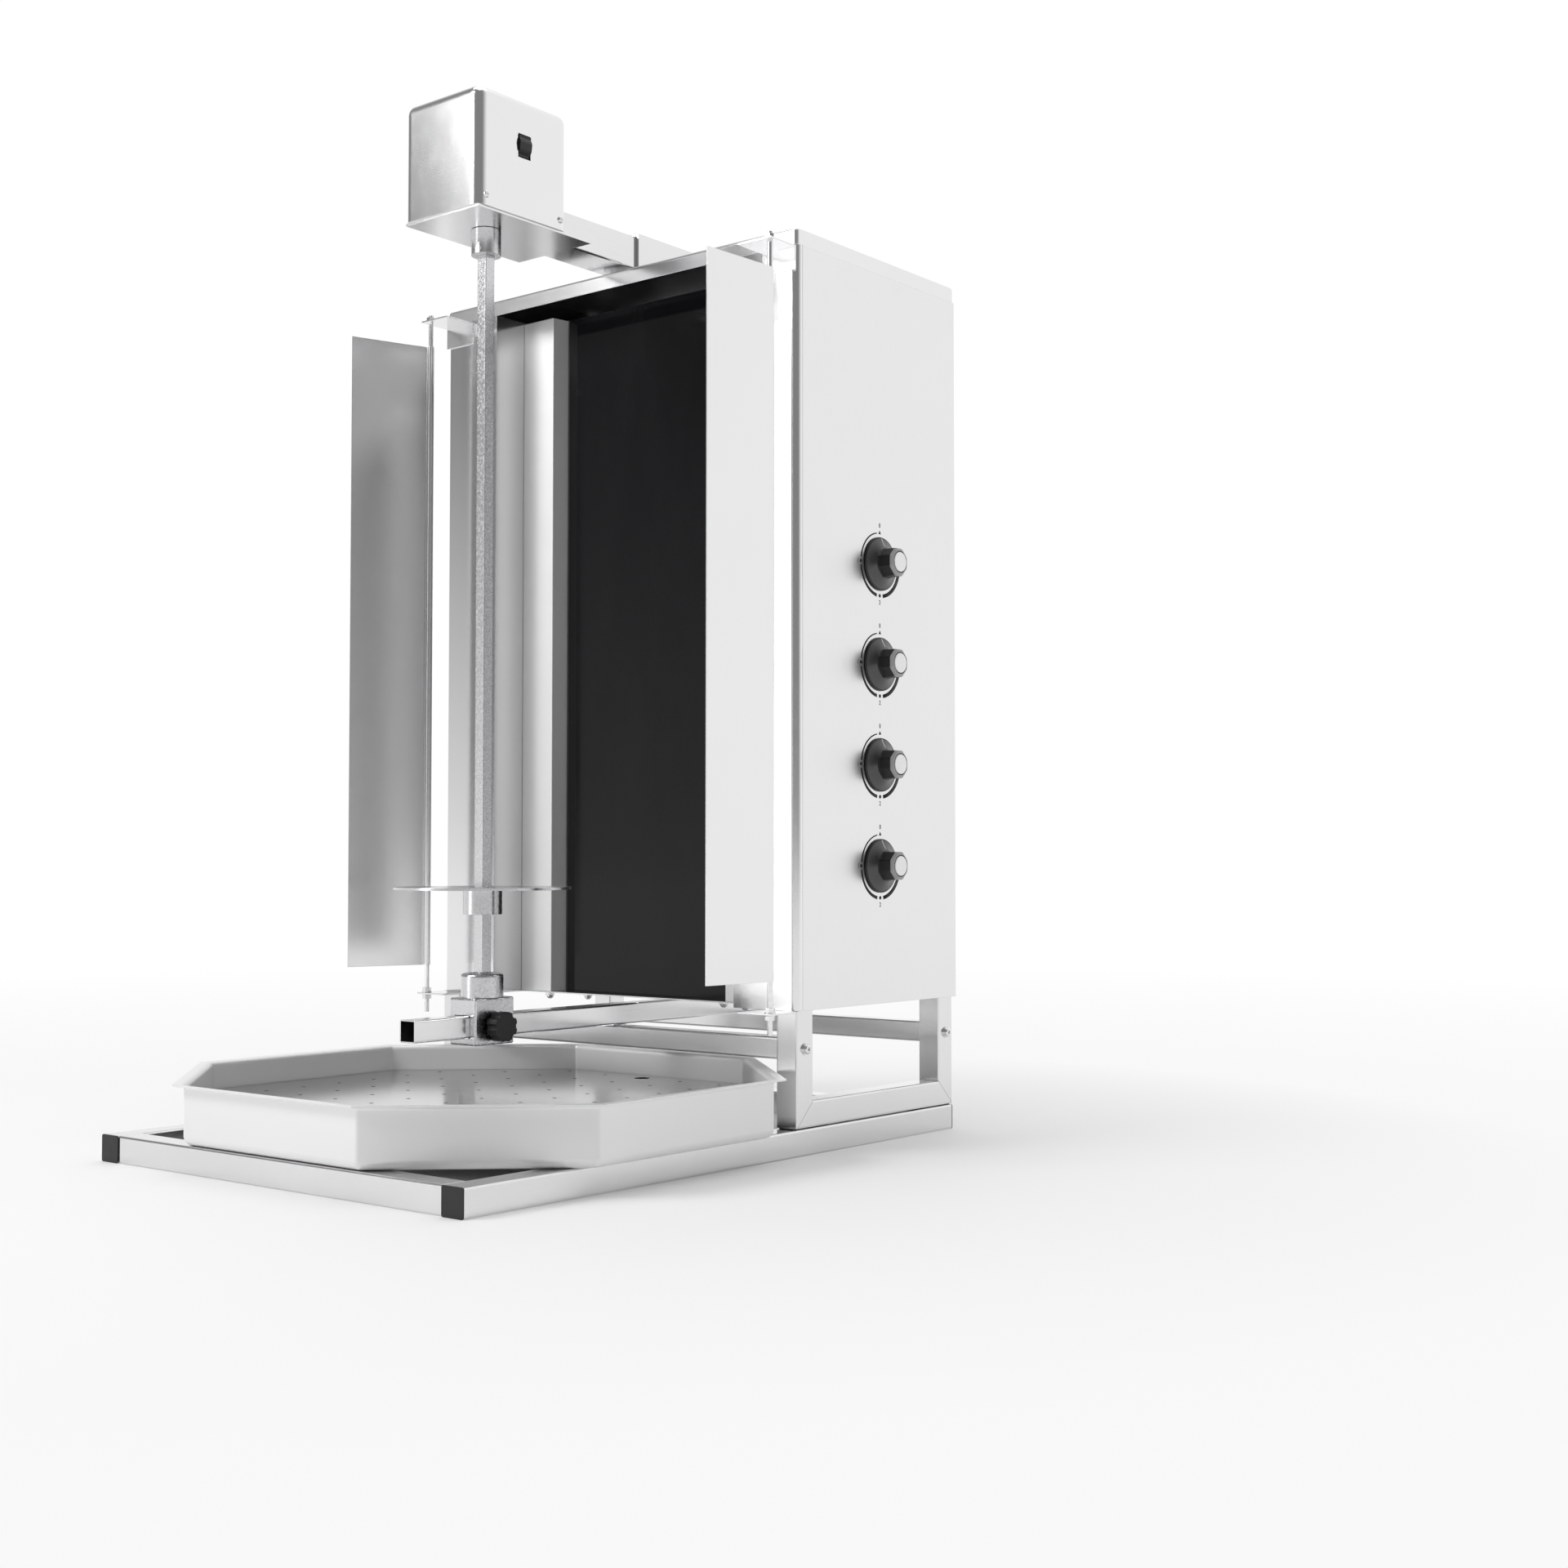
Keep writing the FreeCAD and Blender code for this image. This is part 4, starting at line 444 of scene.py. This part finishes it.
# The spindle, the skirt's rim and cone, the octagonal grip and its hollow end, out from the panel.
KNOB_RINGS = [
    (-26.0, 2.6, circle, 0), (-25.6, 3.0, circle, 0), (0.6, 3.0, circle, 0),
    (0.6, 30.8, circle, 0), (0.9, 31.6, circle, 0), (1.4, 31.95, circle, 0), (1.9, 31.9, circle, 0),
    (2.3, 31.4, circle, 0), (2.9, 30.0, circle, 0), (3.6, 28.2, circle, 1), (5.0, 25.2, circle, 1),
    (6.6, 22.4, circle, 1), (8.2, 20.1, circle, 1), (9.2, 18.9, circle, 1),
    (9.7, 17.9, between(0.5), 1), (10.2, 17.15, octagon, 0), (11.0, 16.9, octagon, 0),
    (14.0, 16.8, octagon, 0), (26.6, 16.45, octagon, 0), (27.4, 16.3, octagon, 2),
    (28.1, 15.9, octagon, 2), (29.4, 14.6, between(0.55), 2), (29.9, 13.6, between(0.2), 2),
    (30.0, 13.0, circle, 2), (29.9, 12.8, circle, 0), (29.0, 12.6, circle, 0),
    (29.0, 11.6, circle, 0),
]
CAP_RINGS = [
    (29.02, 11.5, circle, 0), (30.3, 11.7, circle, 0), (30.65, 11.5, circle, 0),
    (30.85, 11.0, circle, 0), (30.93, 9.0, circle, 0), (30.97, 5.0, circle, 0),
    (31.0, 1.0, circle, 0),
]

# The part of KNOB_RINGS, by x, that is the skirt's cone, and the line that is drawn along it.
SKIRT_FROM, SKIRT_TO = 2.2, 9.3
POINTER_OUTER, POINTER_INNER = 30.6, 20.2
POINTER_HALF, POINTER_TAPER = 0.55, 0.8
POINTER_SINK, POINTER_LIFT = 0.2, 0.12
POINTER_STEPS = 12

# The dial, in mm in the panel's plane; its angles are anticlockwise from the top, in degrees.
PRINT_DEPTH = 0.12
DIAL_RADIUS = 36.2
DIAL_BREAKS = ((9, 83), (97, 171), (189, 263))
DIAL_STEPS = 24
ARC_WIDTH, ARC_GROWTH = 1.25, 0.016
DOT_ANGLES = (90, 180, 270)
DOT_CIRCLE, DOT_RADIUS, DOT_CORNERS = 37.9, 2.2, 24
OFF_MARK = [(-2.5, 36.0), (2.5, 36.0), (0.0, 40.4)]
DIGITS = (("0", 0.0, 46.0), ("1", -43.6, 0.0), ("2", 0.0, -46.2), ("3", 43.6, 0.0))
DIGIT_SIZE, DIGIT_WEIGHT, DIGIT_WIDTH = 7.4, 0.12, 0.8


def knob_middle(n):
    """Where the knob's axis meets the panel, from the knob's own box."""
    low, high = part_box(f"zone_knob_{n}")
    return Vector((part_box("side_panel_right")[1].x, (low.y + high.y) / 2, (low.z + high.z) / 2))


def plate(name, outlines, thick):
    """Flat shapes in the Y-Z plane, each a list of (y, z) in mm, given a thickness along X."""
    built = bmesh.new()
    for outline in outlines:
        low = [built.verts.new((0.0, y * MM, z * MM)) for y, z in outline]
        high = [built.verts.new((thick * MM, y * MM, z * MM)) for y, z in outline]
        built.faces.new(low)
        built.faces.new(high)
        for k in range(len(outline)):
            j = (k + 1) % len(outline)
            built.faces.new((low[k], low[j], high[j], high[k]))
    bmesh.ops.recalc_face_normals(built, faces=built.faces)
    mesh = bpy.data.meshes.new(name)
    built.to_mesh(mesh)
    built.free()
    return mesh


def on_dial(radius, angle):
    """The (y, z) of a point of the dial."""
    return -radius * math.sin(math.radians(angle)), radius * math.cos(math.radians(angle))


def dial_outlines():
    """The printed scale: an arc in three lengths that swells anticlockwise, its dots and its off mark."""
    shapes = []
    for first, last in DIAL_BREAKS:
        steps = [first + (last - first) * k / DIAL_STEPS for k in range(DIAL_STEPS + 1)]
        inner = [on_dial(DIAL_RADIUS, a) for a in steps]
        outer = [on_dial(DIAL_RADIUS + ARC_WIDTH + ARC_GROWTH * a, a) for a in reversed(steps)]
        shapes.append(inner + outer)
    for angle in DOT_ANGLES:
        y, z = on_dial(DOT_CIRCLE, angle)
        turns = [math.radians(k * 360 / DOT_CORNERS) for k in range(DOT_CORNERS)]
        shapes.append([(y + DOT_RADIUS * math.cos(t), z + DOT_RADIUS * math.sin(t)) for t in turns])
    shapes.append(OFF_MARK)
    return shapes


def digit_mesh(name, text, y, z):
    """A digit in the built-in typeface, as a thin plate that faces +X."""
    half = PRINT_DEPTH / 2 * MM
    curve = bpy.data.curves.new(name, "FONT")
    curve.body = text
    curve.size = DIGIT_SIZE * MM
    curve.offset = DIGIT_WEIGHT * MM
    curve.extrude = half
    curve.align_x = "CENTER"
    curve.align_y = "CENTER"
    curve.resolution_u = 4
    holder = bpy.data.objects.new(name + "_curve", curve)
    mesh = bpy.data.meshes.new_from_object(holder)
    mesh.name = name
    quarter = math.radians(90)
    turn = Matrix.Rotation(quarter, 4, "Z") @ Matrix.Rotation(quarter, 4, "X")
    narrow = Matrix.Diagonal((DIGIT_WIDTH, 1, 1, 1))
    mesh.transform(Matrix.Translation((half, y * MM, z * MM)) @ turn @ narrow)
    bpy.data.objects.remove(holder)
    bpy.data.curves.remove(curve)
    return clean(mesh)


def skirt_x(radius):
    """How far the skirt's cone stands off the panel at a radius, in mm."""
    spots = [(r, x) for x, r, _, _ in KNOB_RINGS if SKIRT_FROM < x < SKIRT_TO]
    for (r0, x0), (r1, x1) in zip(spots, spots[1:]):
        if r1 <= radius <= r0:
            return x0 + (x1 - x0) * (r0 - radius) / (r0 - r1)
    raise ValueError(f"the skirt's cone has no radius of {radius} mm")


def pointer_mesh(name):
    """A thin white line along the skirt: its foot is sunk in the skirt and its top a hair above it."""
    top = POINTER_HALF * POINTER_TAPER
    section = ((-POINTER_HALF, -POINTER_SINK), (POINTER_HALF, -POINTER_SINK),
               (top, POINTER_LIFT), (-top, POINTER_LIFT))
    sides = len(section)
    points, faces = [], []
    for k in range(POINTER_STEPS + 1):
        radius = POINTER_OUTER + (POINTER_INNER - POINTER_OUTER) * k / POINTER_STEPS
        x = skirt_x(radius)
        for y, rise in section:
            points.append(((x + rise) * MM, y * MM, radius * MM))
    for k in range(POINTER_STEPS):
        for j in range(sides):
            a, b = sides * k + j, sides * k + (j + 1) % sides
            faces.append((a, b, b + sides, a + sides))
    faces += [tuple(range(sides)), tuple(sides * POINTER_STEPS + j for j in range(sides))]
    mesh = bpy.data.meshes.new(name)
    mesh.from_pydata(points, [], faces)
    return clean(mesh)


def knobs():
    """The four zone knobs, each with its cap and pointer, and the dials printed on the panel."""
    for n in ZONES:
        place = knob_middle(n)
        body = f"knob_{n}"
        knob = link(f"knob_{n}_body", turned(f"knob_{n}_body", KNOB_RINGS), body,
                    ["black", "skirt", "grip_end"], place)
        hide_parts(f"zone_knob_{n}")
        cap = link(f"knob_{n}_cap", turned(f"knob_{n}_cap", CAP_RINGS), body, ["cap"],
                   place)
        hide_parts(f"knob_cap_{n}")
        link(f"knob_{n}_pointer", pointer_mesh(f"knob_{n}_pointer"), body, ["pointer"],
             place)
        link(f"dial_{n}_scale", plate(f"dial_{n}_scale", dial_outlines(), PRINT_DEPTH), "frame",
             ["print"], place, smooth=0)
        for digit, y, z in DIGITS:
            name = f"dial_{n}_digit_{digit}"
            link(name, digit_mesh(name, digit, y, z), "frame", ["print"], place,
                 smooth=0)


# A socket button head, from just under the sheet out to its rim and down into its socket.
SCREW_RINGS = [
    (-0.1, 3.9, circle, 0), (0.9, 4.0, circle, 0), (1.6, 3.7, circle, 0), (2.0, 3.0, circle, 0),
    (2.2, 2.1, circle, 0), (2.2, 1.5, hexagon, 0), (1.0, 1.45, hexagon, 0),
]
SCREW_CORNERS = 36
HEAD_INSET = 0.012


def screw(name, place, facing, body):
    """A socket button head that stands on a sheet and faces along a direction in the level plane."""
    mesh = turned(name, SCREW_RINGS, SCREW_CORNERS)
    mesh.transform(Matrix.Rotation(math.atan2(facing[1], facing[0]), 4, "Z"))
    link(name, mesh, body, ["bright"], place)


def head_screws():
    """Screws that hold the motor cover, set in from the lower corners of its side sheets."""
    low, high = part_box("motor_cover")
    for side, (x, facing) in enumerate(((low.x, -1), (high.x, 1))):
        for row, y in enumerate((low.y + HEAD_INSET, high.y - HEAD_INSET)):
            screw(f"head_screw_{side}{row}", (x, y, low.z + HEAD_INSET), (facing, 0), "head")


# ------------------------------------------------------------------------------------------- studio

# Brightness of the room in front, low on the front left, behind, and of the floor near the oven.
FRONT_LEVEL, LOW_LEVEL, BACK_LEVEL, NEAR_LEVEL = 0.25, 0.85, 1.02, 0.94

# Where the room's brightness changes, as parts of a direction along X, Y and Z.
LEFT_BAND, BACK_BAND, LOW_BAND = (-0.5, 0.0), (-0.10, 0.65), (0.0, 0.22)

# Distances from the oven over which the paper turns to backdrop, and the backdrop to full brightness.
FADE_FROM, FADE_TO, FULL_FROM = 0.25, 1.2, 4.8
FLOOR_HALF = 30.0

LENS, SENSOR = 46.24, 36.0
CAMERA_PLACE = (1.6967, -1.6869, 0.3363)
CAMERA_TILT, CAMERA_TURN = 92.08, 38.58


def floor_material():
    """White paper that runs into the lit backdrop, so no horizon shows."""
    paint = Paint("floor_white", (0.93, 0.93, 0.93), roughness=0.7, specular_ior_level=0.2)
    paint.put("Base Color", paint.mix(paint.noise((3, 3, 3)), (0.92, 0.92, 0.92), (0.94, 0.94, 0.94)))
    reach = paint.node("VectorMath", "Value", [("operation", "LENGTH")], i0=paint.place())
    strength = paint.ramp(reach, FADE_TO, FULL_FROM, NEAR_LEVEL, BACK_LEVEL)
    glow = paint.node("Emission", 0, [], Color=(1, 1, 1, 1), Strength=strength)
    fade = paint.node("MixShader", 0, [], i0=paint.ramp(reach, FADE_FROM, FADE_TO, 0.0, 1.0),
                      i1=paint.shader.outputs[0], i2=glow)
    paint.tree.links.new(fade, paint.tree.nodes["Material Output"].inputs["Surface"])
    return paint.data


def studio_floor():
    mesh = bpy.data.meshes.new("studio_floor")
    corners = [(x * FLOOR_HALF, y * FLOOR_HALF, 0) for x, y in ((-1, -1), (1, -1), (1, 1), (-1, 1))]
    mesh.from_pydata(corners, [], [(0, 1, 2, 3)])
    mesh.materials.append(floor_material())
    floor = bpy.data.objects.new("studio_floor", mesh)
    bpy.context.collection.objects.link(floor)


def studio_world():
    """A white room that lights the oven from behind, where the backdrop is lit, more than from in front.

    The camera itself sees the room at the level of the backdrop in every direction.
    """
    world = bpy.data.worlds.new("studio_room")
    world.use_nodes = True
    bpy.context.scene.world = world
    tree = world.node_tree
    place = tree.nodes.new("ShaderNodeTexCoord")
    split = tree.nodes.new("ShaderNodeSeparateXYZ")
    tree.links.new(place.outputs["Generated"], split.inputs[0])

    def level(axis, band, before, after):
        """A brightness that changes over a band of an axis from one level to another."""
        made = tree.nodes.new("ShaderNodeMapRange")
        for socket, value in zip(made.inputs[:5], (split.outputs[axis], *band, before, after)):
            feed(tree, socket, value)
        return made.outputs[0]

    left = level("X", LEFT_BAND, LOW_LEVEL, FRONT_LEVEL)
    front = level("Z", LOW_BAND, left, FRONT_LEVEL)
    room = level("Y", BACK_BAND, front, BACK_LEVEL)
    seen = tree.nodes.new("ShaderNodeLightPath").outputs["Is Camera Ray"]
    shown = tree.nodes.new("ShaderNodeMix")
    for socket, value in (("Factor", seen), ("A", room), ("B", BACK_LEVEL)):
        feed(tree, shown.inputs[socket], value)
    background = tree.nodes["Background"]
    background.inputs["Color"].default_value = (1, 1, 1, 1)
    tree.links.new(shown.outputs["Result"], background.inputs["Strength"])


def soft_light(name, place, target, size, power):
    """A rectangle of light, wide by high, turned to face its target."""
    data = bpy.data.lights.new(name, "AREA")
    data.shape = "RECTANGLE"
    data.size, data.size_y = size
    data.energy = power
    light = bpy.data.objects.new(name, data)
    light.location = place
    light.rotation_euler = (Vector(target) - Vector(place)).to_track_quat("-Z", "Y").to_euler()
    bpy.context.collection.objects.link(light)


def studio_camera():
    data = bpy.data.cameras.new("camera")
    data.lens = LENS
    data.sensor_width = SENSOR
    camera = bpy.data.objects.new("camera", data)
    camera.location = CAMERA_PLACE
    camera.rotation_euler = (math.radians(CAMERA_TILT), 0, math.radians(CAMERA_TURN))
    bpy.context.collection.objects.link(camera)
    bpy.context.scene.camera = camera


def studio():
    studio_floor()
    studio_world()
    middle, foot = (0, 0, 0.5), (0, 0, 0.1)
    soft_light("light_column", (-1.4, -2.45, 0.8), middle, (0.6, 1.8), 7.5)
    soft_light("light_front_high", (-1.2, -2.4, 2.4), foot, (1.6, 1.2), 52)
    soft_light("light_top", (0.0, 0.0, 3.0), middle, (2.5, 2.5), 24)
    studio_camera()
    bpy.context.scene.view_settings.view_transform = "Standard"


dress_nodes()
knobs()
head_screws()
studio()
